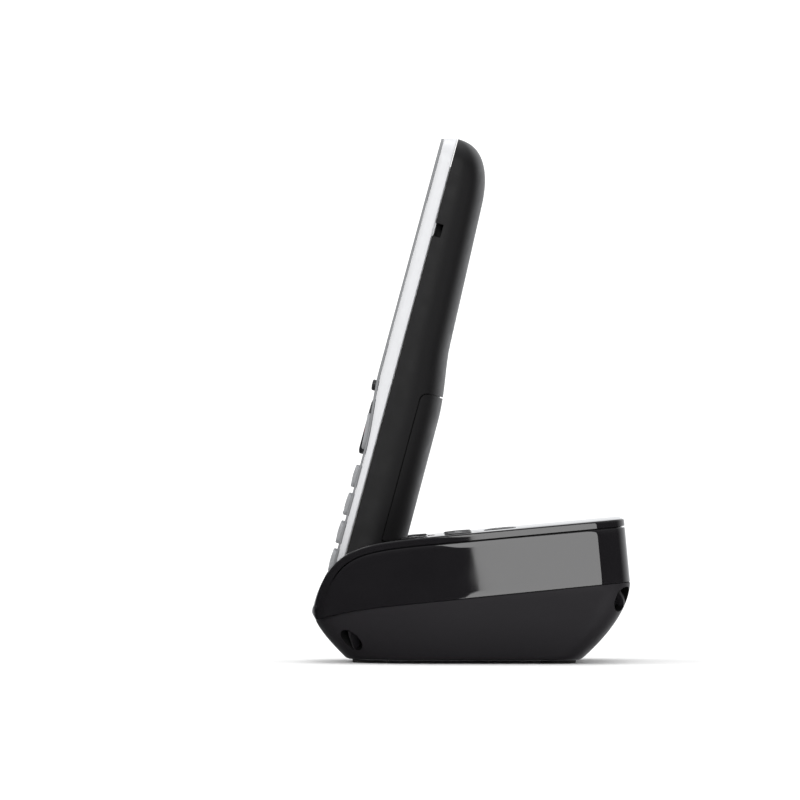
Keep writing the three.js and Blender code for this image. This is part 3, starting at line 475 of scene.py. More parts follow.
def gloss_black():
    finish = Finish("gloss_black", (0.0095, 0.009, 0.01), 0.03, Specular_IOR_Level=0.42)
    finish.vary_roughness(60, 0.02, 0.04)
    finish.vary_color(90, (0.0088, 0.0083, 0.0093), (0.0102, 0.0097, 0.0107))
    return finish.material


def satin_black():
    finish = Finish("satin_black", (0.0185, 0.0172, 0.0195), 0.42, Specular_IOR_Level=0.2)
    finish.vary_roughness(150, 0.38, 0.48)
    finish.grain(5200, 0.35, 0.02)
    return finish.material


def soft_black():
    finish = Finish("soft_black", (0.0085, 0.0082, 0.0088), 0.42, Specular_IOR_Level=0.28)
    finish.vary_roughness(220, 0.39, 0.46)
    finish.grain(6500, 0.3, 0.02)
    return finish.material


def silver():
    finish = Finish("silver", (0.7, 0.705, 0.72), 0.45, 0.3)
    finish.vary_roughness(900, 0.42, 0.48)
    finish.grain(9000, 0.12, 0.008)
    return finish.material


def face_grey():
    finish = Finish("face_grey", (0.26, 0.265, 0.273), 0.5, 0.35)
    finish.vary_roughness(700, 0.46, 0.53)
    finish.grain(9000, 0.1, 0.008)
    return finish.material


def key_silver():
    finish = Finish("key_silver", (0.4, 0.406, 0.418), 0.5, 0.35)
    finish.vary_roughness(900, 0.46, 0.53)
    return finish.material


def key_dark():
    finish = Finish("key_dark", (0.02, 0.02, 0.022), 0.25)
    finish.vary_roughness(400, 0.2, 0.3)
    finish.grain(3000, 0.1, 0.01)
    return finish.material


def key_black():
    finish = Finish("key_black", (0.014, 0.0135, 0.0145), 0.4, Specular_IOR_Level=0.2)
    finish.vary_roughness(400, 0.36, 0.44)
    finish.grain(3000, 0.1, 0.01)
    return finish.material


def glass_black():
    finish = Finish("glass_black", (0.004, 0.005, 0.007), 0.03, Coat_Weight=0.5)
    finish.vary_roughness(40, 0.02, 0.05)
    return finish.material


def plain(name, color, roughness, grain=(2500, 0.2, 0.02)):
    finish = Finish(name, color, roughness)
    finish.vary_roughness(500, roughness * 0.88, min(1, roughness * 1.12))
    spread = 0.15
    finish.vary_color(300, [c * (1 - spread) for c in color], [c * (1 + spread) for c in color])
    finish.grain(*grain)
    return finish.material


def brushed_metal(name, color, roughness):
    """Turned or drawn metal: fine streaks along one axis of the part."""
    finish = Finish(name, color, roughness, 1.0)
    stretch = finish.nodes.new("ShaderNodeMapping")
    stretch.inputs["Scale"].default_value = (1, 12, 1)
    finish.links.new(finish.place, stretch.inputs["Vector"])
    finish.place = stretch.outputs["Vector"]
    finish.vary_roughness(1400, roughness * 0.8, roughness * 1.25)
    finish.grain(2600, 0.25, 0.01)
    return finish.material


def circuit_board():
    """Green solder mask over copper areas that show as a lighter green."""
    finish = Finish("board", (0.01, 0.08, 0.035), 0.35)
    cells = finish.nodes.new("ShaderNodeTexVoronoi")
    cells.distance = "CHEBYCHEV"
    cells.inputs["Scale"].default_value = 420
    finish.links.new(finish.place, cells.inputs["Vector"])
    edges = finish.ranged(cells.outputs["Distance"], 0, 1, 0.28, 0.34)
    finish.mix_colors(edges, (0.03, 0.16, 0.06), (0.008, 0.06, 0.028))
    finish.vary_roughness(800, 0.3, 0.42)
    return finish.material


def speaker_cone():
    """Pressed paper or cloth: a fine weave and a dusty dark grey."""
    finish = Finish("speaker_cone", (0.03, 0.03, 0.032), 0.8)
    finish.vary_color(900, (0.02, 0.02, 0.022), (0.045, 0.045, 0.047))
    finish.grain(3200, 0.5, 0.06)
    return finish.material


def clear_lens():
    finish = Finish("light_lens", (0.06, 0.008, 0.008), 0.22, Coat_Weight=0.4)
    finish.vary_roughness(500, 0.18, 0.28)
    finish.vary_color(260, (0.045, 0.006, 0.006), (0.075, 0.01, 0.01))
    return finish.material


GLOSS_BLACK, SATIN_BLACK, SOFT_BLACK, GLASS = gloss_black(), satin_black(), soft_black(), glass_black()
SILVER, FACE_GREY, KEY_SILVER, KEY_DARK = silver(), face_grey(), key_silver(), key_dark()
NODE_FINISHES = {
    "silicone": plain("silicone", (0.16, 0.16, 0.17), 0.6),
    "circuit_board": circuit_board(),
    "speaker": speaker_cone(),
    "capsule": brushed_metal("capsule", (0.55, 0.55, 0.56), 0.35),
    "contact_metal": brushed_metal("contact_metal", (0.86, 0.75, 0.5), 0.25),
    "screw_steel": brushed_metal("screw_steel", (0.5, 0.5, 0.51), 0.3),
    "socket_black": plain("socket_black", (0.003, 0.003, 0.0032), 0.6),
    "cell_wrap": plain("cell_wrap", (0.06, 0.16, 0.3), 0.35, grain=(700, 0.2, 0.03)),
    "display_module": plain("display_module", (0.11, 0.12, 0.11), 0.4),
    "light_lens": clear_lens(),
}
KEY_BLACK = key_black()
# Painted shade: a near-black material for the insides of the side ports, where shade falls.
PORT_PAINTED_SHADE = plain("port_painted_shade", (0.002, 0.002, 0.0022), 0.7)
PRINT_DARK = plain("print_dark", (0.02, 0.02, 0.025), 0.5)
PRINT_LIGHT = plain("print_light", (0.7, 0.71, 0.72), 0.5)
PRINT_GREEN = plain("print_green", (0.03, 0.35, 0.08), 0.45)
PRINT_RED = plain("print_red", (0.5, 0.03, 0.03), 0.45)


# ---- Camera, light and floor ----
def make_camera():
    data = bpy.data.cameras.new("camera")
    data.sensor_width = 36
    distance, width_seen, centre_y, centre_z = 4.0, 0.272, -0.0237, 0.0889
    data.lens = data.sensor_width * distance / width_seen
    data.clip_end = 30
    camera = bpy.data.objects.new("camera", data)
    camera.location = (distance, centre_y, centre_z)
    camera.rotation_euler = (math.radians(90), 0, math.radians(90))
    bpy.context.scene.collection.objects.link(camera)
    bpy.context.scene.camera = camera


def area_light(name, size, radiance, location, target, roll=0.0):
    data = bpy.data.lights.new(name, "AREA")
    data.shape = "RECTANGLE"
    data.size, data.size_y = size
    data.energy = radiance * math.pi * size[0] * size[1]
    light = bpy.data.objects.new(name, data)
    aim = (Vector(target) - Vector(location)).to_track_quat("-Z", "Y").to_matrix().to_4x4()
    light.matrix_world = Matrix.Translation(location) @ aim @ Matrix.Rotation(math.radians(roll), 4, "Z")
    bpy.context.scene.collection.objects.link(light)


GLOWS = (  # direction, the cosines between which the light rises, and its strength
    ((-0.85, 0.5, 0.1), 0.55, 1.0, 1.2),
    ((0.6, 0.5, -0.6), 0.78, 1.0, 0.9),
    ((0, 0, 1), 0.1, 1.0, 0.8),
)


def make_world():
    """A white studio. Reflections see soft glows instead: far wall, low rear corner and ceiling."""
    world = bpy.data.worlds.new("studio")
    world.use_nodes = True
    bpy.context.scene.world = world
    nodes, links = world.node_tree.nodes, world.node_tree.links
    nodes.clear()
    direction = nodes.new("ShaderNodeTexCoord").outputs["Generated"]

    def glow(towards, start, end, strength):
        dot, ramp = nodes.new("ShaderNodeVectorMath"), nodes.new("ShaderNodeMapRange")
        dot.operation = "DOT_PRODUCT"
        dot.inputs[1].default_value = Vector(towards).normalized()
        ramp.interpolation_type = "SMOOTHSTEP"
        for socket, number in zip(("From Min", "From Max", "To Min", "To Max"), (start, end, 0, strength)):
            ramp.inputs[socket].default_value = number
        links.new(direction, dot.inputs[0])
        links.new(dot.outputs["Value"], ramp.inputs["Value"])
        return ramp.outputs["Result"]

    def add(a, b):
        node = nodes.new("ShaderNodeMath")
        node.operation = "ADD"
        links.new(a, node.inputs[0])
        links.new(b, node.inputs[1])
        return node.outputs[0]

    total = glow(*GLOWS[0])
    for settings in GLOWS[1:]:
        total = add(total, glow(*settings))
    path, mix = nodes.new("ShaderNodeLightPath"), nodes.new("ShaderNodeMixShader")
    bright, room = nodes.new("ShaderNodeBackground"), nodes.new("ShaderNodeBackground")
    bright.inputs["Strength"].default_value = 1.25
    bright.inputs["Color"].default_value = (1, 1, 1, 1)
    room.inputs["Color"].default_value = (0.97, 0.98, 1, 1)
    links.new(total, room.inputs["Strength"])
    links.new(path.outputs["Is Glossy Ray"], mix.inputs["Fac"])
    links.new(bright.outputs[0], mix.inputs[1])
    links.new(room.outputs[0], mix.inputs[2])
    links.new(mix.outputs[0], nodes.new("ShaderNodeOutputWorld").inputs["Surface"])


def make_floor():
    mesh = bpy.data.meshes.new("floor")
    radius, corners = 1.5, 96
    angles = np.linspace(0, 2 * math.pi, corners, endpoint=False)
    rim = [(radius * math.cos(a), radius * math.sin(a), 0) for a in angles]
    mesh.from_pydata(rim, [], [tuple(range(corners))])
    floor = bpy.data.objects.new("floor", mesh)
    finish = Finish("floor", (0.9, 0.9, 0.9), 0.8, Specular_IOR_Level=0.1)
    finish.vary_roughness(3, 0.75, 0.85)
    mesh.materials.append(finish.material)
    bpy.context.scene.collection.objects.link(floor)
    floor.visible_glossy = False


def make_studio():
    make_camera()
    make_world()
    make_floor()
    area_light("side_softbox", (0.22, 1.2), 6.0, (1.6, 0.046, 0.35), (0, 0.02, 0.03), roll=19.6)
    area_light("top_softbox", (1.2, 1.2), 1.0, (-0.2, 0.3, 2.0), (0, 0, 0))
    area_light("front_softbox", (1.0, 0.8), 1.2, (-0.4, -1.6, 1.5), (0, 0, 0.08))
    bpy.context.scene.view_settings.view_transform = "Standard"


# ---- Tools that cut the base ----
def pocket_tool(extra, low, high):
    half, front, back = HAND_HALF + extra, -3.2 - extra, float(back_depth(10)) + extra
    rings = []
    for z in (low, high):
        ring = section(half, 0, back, z, 60)
        corner = np.array([[half, front, z]])
        ring = np.concatenate([ring[:1], corner, ring[1:], corner * (-1, 1, 1)])
        ring[0, 1] = front
        rings.append(ring)
    return solid("tool", rings, HANDSET)


def opening_tool():
    half = HAND_HALF + POCKET_GAP
    return block((-half, half), (-40, 0), (LIP, 70), HANDSET)


def prism_tool(outline, low, high, place):
    x, y = outline
    return solid("tool", [ring3(x, y, low), ring3(x, y, high)], place)


def base_key_outline(key, extra=0.0):
    x, y, width, length, corner = BASE_KEYS[key]
    return shift(rounded_rectangle(width + 2 * extra, length + 2 * extra, corner + extra), x, y)


# ---- Base shells ----
def top_cover():
    def outside(y):
        return np.maximum(top_height(y), COVER_FRONT_Z)

    def underside(y):
        """The groove under the cover closes towards the nose."""
        share = smoothstep(y, -49, -43)
        closed = top_height(y, COVER_THICKNESS + GROOVE - 0.08)
        return np.maximum(closed + (top_height(y, COVER_THICKNESS) - closed) * share, COVER_FRONT_Z)

    edge_x, edge_y, _ = wall_at_height(outside)
    low_x, low_y, _ = wall_at_height(underside)
    front = top_y(COVER_FRONT_Z)
    edge_y, low_y = np.maximum(edge_y, front), np.maximum(low_y, front)
    edge_z, low_z = outside(edge_y), underside(low_y)
    rings = []
    inner_x, inner_y = shrink(low_x, low_y, 0.3)
    inner_y = np.maximum(inner_y, front + 0.3)
    rings.append(ring3(inner_x, inner_y, 0))
    rings[0][:, 2] = underside(inner_y)
    fillet = 0.6
    steep = np.abs(np.gradient(CURVE[:, 1]) / np.gradient(CURVE[:, 0]))
    for share in (0.06, 0.3, 0.6, 0.8):
        top_of_wall = edge_z - fillet * np.sqrt(1 + np.interp(edge_y, CURVE[:, 0], steep) ** 2)
        top_of_wall = np.maximum(top_of_wall, low_z + 0.02)
        rings.append(np.column_stack([
            low_x + (edge_x - low_x) * share, low_y + (edge_y - low_y) * share,
            low_z + (top_of_wall - low_z) * min(1, (share - 0.06) / 0.74),
        ]))
    for inward, down in fillet_steps(6)[1:]:
        x, y = shrink(edge_x, edge_y, fillet * inward)
        y = np.maximum(y, front)
        drop = fillet * down * np.sqrt(1 + np.interp(y, CURVE[:, 0], steep) ** 2)
        rings.append(ring3(x, y, 0))
        rings[-1][:, 2] = np.maximum(outside(y) - drop, low_z + 0.03)
    piece = solid("cover_skin", rings)
    cut(piece, pocket_tool(POCKET_GAP, -POCKET_DEPTH, 70), opening_tool())
    for key in BASE_KEYS:
        cut(piece, prism_tool(base_key_outline(key, KEY_GAP), -8, 8, TOP_PLANE))
    cut(piece, prism_tool(shift(rounded_rectangle(*LIGHT_SLOT), 0, LIGHT_Y), -8, 8, TOP_PLANE))
    finish_mesh(piece, rim=0.2)
    return put(piece, "base", GLOSS_BLACK, "gloss_black", "top_cover")


def upper_housing():
    def crease(y):
        return crease_height(y) + 0.04

    def below_cover(depth):
        return lambda y: np.maximum(top_height(y, depth), COVER_FRONT_Z - 0.1)

    def on_nose(x, y, z):
        chin = -HALF_LENGTH + (NOSE_TIP[1] - z) * 0.7
        limit = np.where(z > NOSE_TIP[1], top_y(z), chin)
        return np.column_stack([x, np.maximum(y, limit), z])

    bottom = wall_at_height(crease)
    top = wall_at_height(below_cover(COVER_THICKNESS + GROOVE))
    rings = []
    for share in (0, 0.02, 0.12, 0.25, 0.4, 0.55, 0.7, 0.8, 0.9, 0.98):
        x, y, z = (low + (high - low) * share for low, high in zip(bottom, top))
        rings.append(on_nose(x, y, z))
    shrunk = shrink(bottom[0], bottom[1], 0.25)
    rings.insert(0, on_nose(*shrunk, bottom[2]))
    rings[1][:, 2] += 0.22
    for inset, depth in ((0.12, 2.9), (0.9, 2.9), (1.0, 2.5), (BASE_WALL, 2.5)):
        rings.append(on_nose(*wall_at_height(below_cover(depth), inset)))
    x, y, z = wall_at_height(crease, BASE_WALL)
    rings.append(ring3(x, y, 0))
    rings[-1][:, 2] = z
    piece = hoop("upper_skin", rings)
    finish_mesh(piece)
    return put(piece, "base", GLOSS_BLACK, "gloss_black", "upper_housing")


def bowl_ring(level, inset=0.0, floor=FLOOR_Z):
    """A ring of the lower housing; level runs from 0 at the crease to 1 at the sole."""
    rim = plan(RIM_FRONT - inset, HALF_LENGTH - inset, HALF_WIDTH - inset, REAR_CORNER - inset * 0.8)
    low = plan(SOLE_FRONT - inset, SOLE_REAR - inset, SOLE_HALF - inset, SOLE_CORNER - inset * 0.8)
    share = (rim[1] / HALF_LENGTH + 1) / 2
    inward = level ** (1.3 + 0.5 * share)
    z = crease_height(rim[1])
    x, y = (outer + (inner - outer) * inward for outer, inner in zip(rim, low))
    return np.column_stack([x, y, z + (floor - z) * level])


def port_tools(point, normal, rib_turn, side):
    centre = Vector((point[0] * side, point[1], point[2]))
    axis = Vector((normal[0] * side, normal[1], normal[2])).normalized()
    up = axis.cross(Vector((0, 0, 1)).cross(axis)).normalized()
    across = up.cross(axis)
    turn = Matrix((across, up, axis)).transposed().to_4x4()
    place = Matrix.Translation(centre) @ turn
    bore = drill(PORT_RADIUS, -PORT_DEPTH, PORT_DEPTH, place, 48)
    turned = place @ Matrix.Rotation(-side * math.radians(rib_turn), 4, "Z")
    rib = block((-RIB / 2, RIB / 2), (-6, 6), (-20, 20), turned)
    return cut(bore, rib)


def paint_port_shade(piece):
    """Paints shade into the bores behind the port ribs: their wall and floor faces take a near-black material
    that stands for the shade falling deep in the ports.
    """
    piece.data.materials.append(PORT_PAINTED_SHADE)
    for face in piece.data.polygons:
        centre = face.center / MM
        for point, normal, _ in PORTS:
            side = 1 if centre.x > 0 else -1
            axis = Vector((side * normal[0], normal[1], normal[2])).normalized()
            offset = centre - Vector((side * point[0], point[1], point[2]))
            depth = -offset.dot(axis)
            radius = (offset + depth * axis).length
            on_wall = PORT_RADIUS - 0.1 < radius < PORT_RADIUS + 0.05
            on_floor = radius < PORT_RADIUS and abs(depth - PORT_DEPTH) < 0.2
            if 0.1 < depth < PORT_DEPTH + 0.2 and (on_wall or on_floor):
                # the bore's wall and floor faces take the painted shade
                face.material_index = 1


def lower_housing():
    rings = [bowl_ring(level, BASE_WALL, FLOOR_Z + BASE_WALL) for level in (1, 0.8, 0.6, 0.4, 0.2, 0.05, 0)]
    rings.append(bowl_ring(0, 0.25))
    rings += [bowl_ring(level) for level in np.concatenate([[0.008], np.linspace(0.03, 0.97, 30)])]
    last = bowl_ring(1)
    for inset, lift in ((0.35, 0.1), (1.1, 0.0)):
        x, y = shrink(last[:, 0], last[:, 1], inset)
        rings.append(ring3(x, y, FLOOR_Z + lift))
    piece = solid("lower_skin", rings)
    for point, normal, rib_turn in PORTS:
        for side in (1, -1):
            cut(piece, port_tools(point, normal, rib_turn, side))
    for x, y in FEET.values():
        cut(piece, drill(FOOT_RADIUS + FOOT_ROOM, 0, FOOT_HEIGHT + FOOT_ROOM, Matrix.Translation((x, y, 0))))
    for i in range(-2, 3):
        slot = shift(rounded_rectangle(*SPEAKER_SLOT), i * SPEAKER_PITCH, SPEAKER_Y)
        cut(piece, prism_tool(slot, 0, 3.5, IDENTITY))
    for x, half, low, high in REAR_OPENINGS:
        cut(piece, block((x - half, x + half), (40, 60), (low, high)))
    for x in (-BASE_SCREW_X, BASE_SCREW_X):
        cut(piece, drill(SCREW_RADIUS, 0, SCREW_DEPTH, Matrix.Translation((x, 0, 0)), 32))
    finish_mesh(piece, rim=0.25)
    put(piece, "base", SATIN_BLACK, "satin_black", "lower_housing")
    # paints shade into the port bores
    paint_port_shade(piece)


def feet():
    material = plain("rubber", (0.016, 0.016, 0.016), 0.85, grain=(3500, 0.5, 0.05))
    edge = [(5.5, 0), (5.82, 0.13), (FOOT_RADIUS, 0.45)]
    profile = [(0, 0), (3, 0), *edge, (FOOT_RADIUS, FOOT_HEIGHT), (0, FOOT_HEIGHT)]
    for name, (x, y) in FEET.items():
        piece = lathe("rubber_foot_" + name, profile, Matrix.Translation((x, y, 0)), 72)
        put(finish_mesh(piece), "base", material, "rubber", "foot_" + name)


def cradle():
    piece = pocket_tool(POCKET_GAP + POCKET_WALL, -POCKET_DEPTH - 1.5, 60)
    piece.name = "pocket_lining"
    under = offset_curve(COVER_THICKNESS + 0.3)
    outline = [(-49.5, 8), (60, 8), *[tuple(p) for p in under[::-4]]]
    combine(piece, side_prism(outline, 60), "INTERSECT")
    x, y = plan(HALF_LENGTH - 2.5, 50, 45, REAR_CORNER - 2.5)
    combine(piece, solid("tool", [ring3(x, y, 5), ring3(x, y, 60)]), "INTERSECT")
    cut(piece, pocket_tool(POCKET_GAP, -POCKET_DEPTH, 70), opening_tool())
    for side in (-1, 1):
        x = side * CHARGE_PAD_X
        cut(piece, block((x - CONTACT_HALF, x + CONTACT_HALF), CONTACT_Y, (-5, 3), HANDSET))
    finish_mesh(piece, rim=0.15)
    return put(piece, "base", SATIN_BLACK, "satin_black", "cradle_tray")


def side_prism(outline, half, place=IDENTITY):
    """A tool from an outline in the y-z plane, extruded across x."""
    vertices = [(x, y, z) for x in (-half, half) for y, z in outline]
    return new_object("tool", vertices, prism_faces(len(outline)), place)


def cap_rings(outline, centre, bottom, top_at, fillet, crown=0.0):
    """Rings of a key: straight sides, a rounded edge and a slightly domed top; top_at gives the height."""
    x, y = outline
    rings = [np.column_stack([x + centre[0], y + centre[1], np.full(x.shape, bottom)])]
    for inward, down in fillet_steps(6):
        dx, dy = shrink(x, y, fillet * inward)
        height = top_at(dy + centre[1]) - fillet * down
        rings.append(np.column_stack([dx + centre[0], dy + centre[1], height]))
    for share in (0.985, 0.85, 0.6, 0.3):
        height = top_at(dy * share + centre[1]) + crown * (1 - share**2)
        rings.append(np.column_stack([dx * share + centre[0], dy * share + centre[1], height]))
    return rings


def base_key_crown(key):
    return 0.35 if key == "play" else 0.15


def base_keys():
    for key, (x, y, width, length, corner) in BASE_KEYS.items():
        crown = base_key_crown(key)
        top = flat_at(BASE_KEY_PROUD - crown)
        rings = cap_rings(rounded_rectangle(width, length, corner), (x, y), BASE_KEY_BOTTOM, top, 0.3, crown)
        piece = solid("cap_base_" + key, rings, TOP_PLANE)
        put(finish_mesh(piece), "base_key_" + key, KEY_BLACK, "gloss_black", "base_key_" + key)


# ---- Handset shells ----
def back_solid(inset, front):
    low, high = inset, HAND_LENGTH - inset * 0.8
    heights = np.concatenate([
        6 * (1 - np.cos(np.linspace(0, math.pi / 2, 14))), np.linspace(6, 140, 90)[1:],
        140 + 20 * np.sin(np.linspace(0, math.pi / 2, 40))[1:],
    ])
    rings = []
    for height in heights:
        z = low + (high - low) * height / HAND_LENGTH
        back = float(back_depth(height)) - inset
        rings.append(section(float(half_width(height)) - inset, front, back, z))
    return solid("tool", rings, HANDSET)


def cover_region(gap, top_gap):
    y0, z1, radius, low = COVER_SEAM - gap, COVER_HIGH + top_gap, COVER_CORNER + gap, COVER_LOW_CORNER

    def low_z(y):
        return HINGE_Z - gap + (y - HINGE_Y) * COVER_LOW_SLOPE

    points = (y0, low_z(y0) + low), (y0, low_z(y0)), (y0 + low, low_z(y0 + low))
    start, corner, end = (np.array(point) for point in points)
    shares = np.linspace(0, 1, 9)
    turn = [tuple((1 - t) ** 2 * start + 2 * t * (1 - t) * corner + t * t * end) for t in shares]
    angle = np.linspace(math.pi / 2, math.pi, 12)
    arc = [(y0 + radius + radius * math.cos(a), z1 - radius + radius * math.sin(a)) for a in angle]
    return side_prism([*turn, (BEHIND, low_z(BEHIND)), (BEHIND, z1), *arc], BEHIND, HANDSET)


def back_shell():
    piece = back_solid(0, SEAM_GAP)
    piece.name = "back_skin"
    cut(piece, back_solid(HAND_WALL, INSIDE))
    deck = back_solid(0.02, SEAM_GAP)
    combine(deck, block(ACROSS, (DECK_Y, BEHIND), (DECK_LOW, DECK_HIGH), HANDSET), "INTERSECT")
    combine(piece, deck, "UNION")
    cut(piece, cover_region(COVER_GAP, COVER_TOP_GAP))
    lip = back_solid(1.05, INSIDE)
    combine(lip, block(ACROSS, (RIDGE_Y, BEHIND), (LIP_LOW, DECK_HIGH), HANDSET), "INTERSECT")
    combine(piece, lip, "UNION")
    for x in RIDGE_X:
        ridge = block((x, x + RIDGE_WIDTH), (RIDGE_Y, 12), (DECK_LOW + 1, DECK_HIGH), HANDSET)
        combine(piece, ridge, "UNION")
    cut(piece, block((-BAY_HALF, BAY_HALF), (RIDGE_Y, BEHIND), (BAY_LOW, BAY_HIGH), HANDSET))
    for side in (-1, 1):
        near, far = sorted((side * 13.2, side * 22))
        cut(piece, block((near, far), (0, 9), (29, 60), HANDSET))
        screw_x, screw_z = HANDSET_SCREW
        axis = Matrix.Translation((side * screw_x, 0, screw_z)) @ Matrix.Rotation(-math.pi / 2, 4, "X")
        stepped = [(0, 0), (1.3, 0), (1.3, 8.3), (2.4, 8.3), (2.4, 20), (0, 20)]
        cut(piece, lathe("tool", stepped, HANDSET @ axis, 32))
        pad = side * CHARGE_PAD_X
        cut(piece, block((pad - PAD_HALF, pad + PAD_HALF), PAD_Y, (-1, 3), HANDSET))
    cut(piece, block(*HEADSET_OPENING, HANDSET))
    for i in range(-2, 3):
        slot = shift(rounded_rectangle(*RINGER_SLOT), 0, RINGER_Z + i * RINGER_PITCH)
        cut(piece, prism_tool(slot, -30, -8, facing()))
    finish_mesh(piece, rim=0.15)
    return put(piece, "handset", SOFT_BLACK, "soft_black", "handset_back_shell")


def battery_cover():
    piece = back_solid(0, SEAM_GAP)
    piece.name = "battery_lid"
    cut(piece, back_solid(1.6, INSIDE))
    rebate = back_solid(0.8, INSIDE)
    combine(rebate, block(ACROSS, (0, BEHIND), (REBATE_LOW, 80), HANDSET), "INTERSECT")
    cut(piece, rebate)
    combine(piece, cover_region(0, 0), "INTERSECT")
    finish_mesh(piece, rim=0.2)
    return put(piece, "battery_cover", SOFT_BLACK, "soft_black", "battery_cover")


def level_end(ring, inset=0.0):
    """Lowers the top end of a ring of (x, y, z) points so that it lies level on the tilted handset."""
    limit = HAND_LENGTH - inset + ring[:, 1] * END_SLOPE
    ring[:, 2] = np.minimum(ring[:, 2], limit)
    return ring


def silver_frame():
    def at(inset, depth):
        x, z = handset_outline(inset)
        return level_end(np.column_stack([x, -depth(z), z]), inset)

    low = lambda extra: (lambda z: np.full(z.shape, SEAM_GAP + extra))
    high = lambda less: (lambda z: band_depth(z) - less)
    rings = [at(0.3, low(0)), at(0.08, low(0.06)), at(0, low(0.28))]
    for share in (0.3, 0.6):
        rings.append(at(0, lambda z, s=share: SEAM_GAP + (band_depth(z) - SEAM_GAP) * s))
    rings += [at(0, high(0.22)), at(0.06, high(0.05)), at(0.22, high(0))]
    rings += [at(FRAME_WALL, high(0)), at(FRAME_WALL, low(0))]
    piece = hoop("frame_band", rings, HANDSET)
    corners = [  # an L that reaches past the seam into the back shell
        (TONGUE_INNER, TONGUE_FRONT), (TONGUE_OUTER, TONGUE_FRONT), (TONGUE_OUTER, -SEAM_GAP),
        (TONGUE_STEP, -SEAM_GAP), (TONGUE_STEP, TONGUE_REAR), (TONGUE_INNER, TONGUE_REAR),
    ]
    for side in (-1, 1):
        outline = np.array([(side * x, y) for x, y in corners[::side]])
        combine(piece, prism(outline.T, TONGUE_LOW, TONGUE_HIGH, HANDSET), "UNION")
    finish_mesh(piece, sharp=50)
    return put(piece, "handset", SILVER, "silver_frame", "silver_frame")


NUMBER_NAMES = ("1", "2", "3", "4", "5", "6", "7", "8", "9", "star", "0", "hash")


def handset_keys():
    """Name to (x, z, width, height, corner, proud)."""
    keys = {}
    for i, name in enumerate(NUMBER_NAMES):
        column, row = i % 3 - 1, i // 3
        keys["key_" + name] = (column * KEY_PITCH_X, TOP_ROW_Z - row * KEY_PITCH_Z, *NUMBER_KEY)
    keys["key_talk"] = (-17.6, 56.5, *CALL_KEY)
    keys["key_end"] = (17.6, 56.5, *CALL_KEY)
    keys["key_soft_left"] = (-13.5, 72.2, *SOFT_KEY)
    keys["key_soft_right"] = (13.5, 72.2, *SOFT_KEY)
    return keys


KEYS = handset_keys()
FACING = Matrix.Rotation(math.pi / 2, 4, "X")


def facing(x=0.0, z=0.0):
    """Local frame on the front of the handset: x right, y up, z out of the face."""
    return HANDSET @ FACING @ Matrix.Translation((x, z, 0))


def front_panel():
    outline_x, outline_z = handset_outline(0.05)
    layers = [(0, band_depth(outline_z) + SEAM_GAP)]
    fillet = 0.3
    for inward, down in fillet_steps(5):
        layers.append((fillet * inward, face_depth(outline_z) - fillet * down))
    rings = []
    for inset, depth in layers:
        x, z = shrink(outline_x, outline_z, inset)
        ring = level_end(np.column_stack([x, -depth, z]), inset)
        rings.append(np.column_stack([ring[:, 0], ring[:, 2], depth]))
    piece = solid("face_plate", rings, facing())
    for x, z, width, height, corner, _ in KEYS.values():
        hole = rounded_rectangle(width + 2 * KEY_GAP, height + 2 * KEY_GAP, corner + KEY_GAP)
        cut(piece, prism_tool(shift(hole, x, z), -1, 9, facing()))
    cut(piece, drill(NAV_HOLE, -1, 9, facing(0, NAV_Z), 96))
    width, height, corner = WINDOW
    well = rounded_rectangle(width + 2 * WINDOW_GAP, height + 2 * WINDOW_GAP, corner + WINDOW_GAP)
    cut(piece, prism_tool(shift(well, 0, WINDOW_Z), -1, 9, facing()))
    cut(piece, prism_tool(shift(rounded_rectangle(*EAR_SLOT), 0, EAR_Z), -1, 9, facing()))
    cut(piece, drill(MICROPHONE_RADIUS, -1, 9, facing(0, MICROPHONE_Z), 24))
    finish_mesh(piece, rim=0.12)
    return put(piece, "handset", FACE_GREY, "face_grey", "front_panel")


def display_glass():
    rings = cap_rings(rounded_rectangle(*WINDOW), (0, WINDOW_Z), 4.55, flat_at(WINDOW_TOP), 0.25)
    piece = solid("window_glass", rings, facing())
    return put(finish_mesh(piece), "handset", GLASS, "display_glass", "display_window")


def key_caps():
    for name, (x, z, width, height, corner, proud) in KEYS.items():
        top = lambda value: face_depth(value) + proud - HANDSET_CROWN
        outline = rounded_rectangle(width, height, corner)
        rings = cap_rings(outline, (x, z), KEY_BOTTOM, top, CAP_FILLET, HANDSET_CROWN)
        piece = solid("cap_" + name, rings, facing())
        dark = "soft" in name
        material, slot = (KEY_DARK, "key_dark") if dark else (KEY_SILVER, "key_silver")
        put(finish_mesh(piece), name, material, slot, name)


def navigation_key():
    front = float(face_depth(NAV_Z)) + NAV_PROUD
    profile = [
        (0, KEY_BOTTOM), (NAV_RADIUS, KEY_BOTTOM), (NAV_RADIUS, front - 0.6),
        (9.5, front - 0.3), (9.2, front - 0.05),
        (8.6, front + 0.15), (7.4, front + 0.25), (6.2, front + 0.1), (5.2, front - 0.25),
        (4.6, front - 0.45), (4.3, front - 0.6), (4.1, front - 0.45), (3.6, front - 0.3),
        (1.8, front - 0.22), (0, front - 0.2),
    ]
    piece = lathe("cap_navigation", profile, facing(0, NAV_Z), 96)
    return put(finish_mesh(piece), "key_navigation", KEY_DARK, "key_dark", "key_navigation")


# ---- Legends, raised a little from the keys ----
def domed_top(width, height, crown, base):
    """Height of a key's top over its centre; base(dy) is the height it would have without the dome."""
    def top(x, y):
        share = np.maximum(np.abs(x) / (width / 2 - CAP_FILLET), np.abs(y) / (height / 2 - CAP_FILLET))
        return base(y) - crown * share**2
    return top


def handset_key_top(name):
    _, z, width, height, _, proud = KEYS[name]
    return domed_top(width, height, HANDSET_CROWN, lambda dy: face_depth(z + dy) + proud)


def plate(outline, top, place):
    """A thin solid from any anticlockwise outline, following a surface."""
    surface = top(*outline)
    return prism(outline, surface - LEGEND_ROOT, surface + LEGEND_RISE, place)


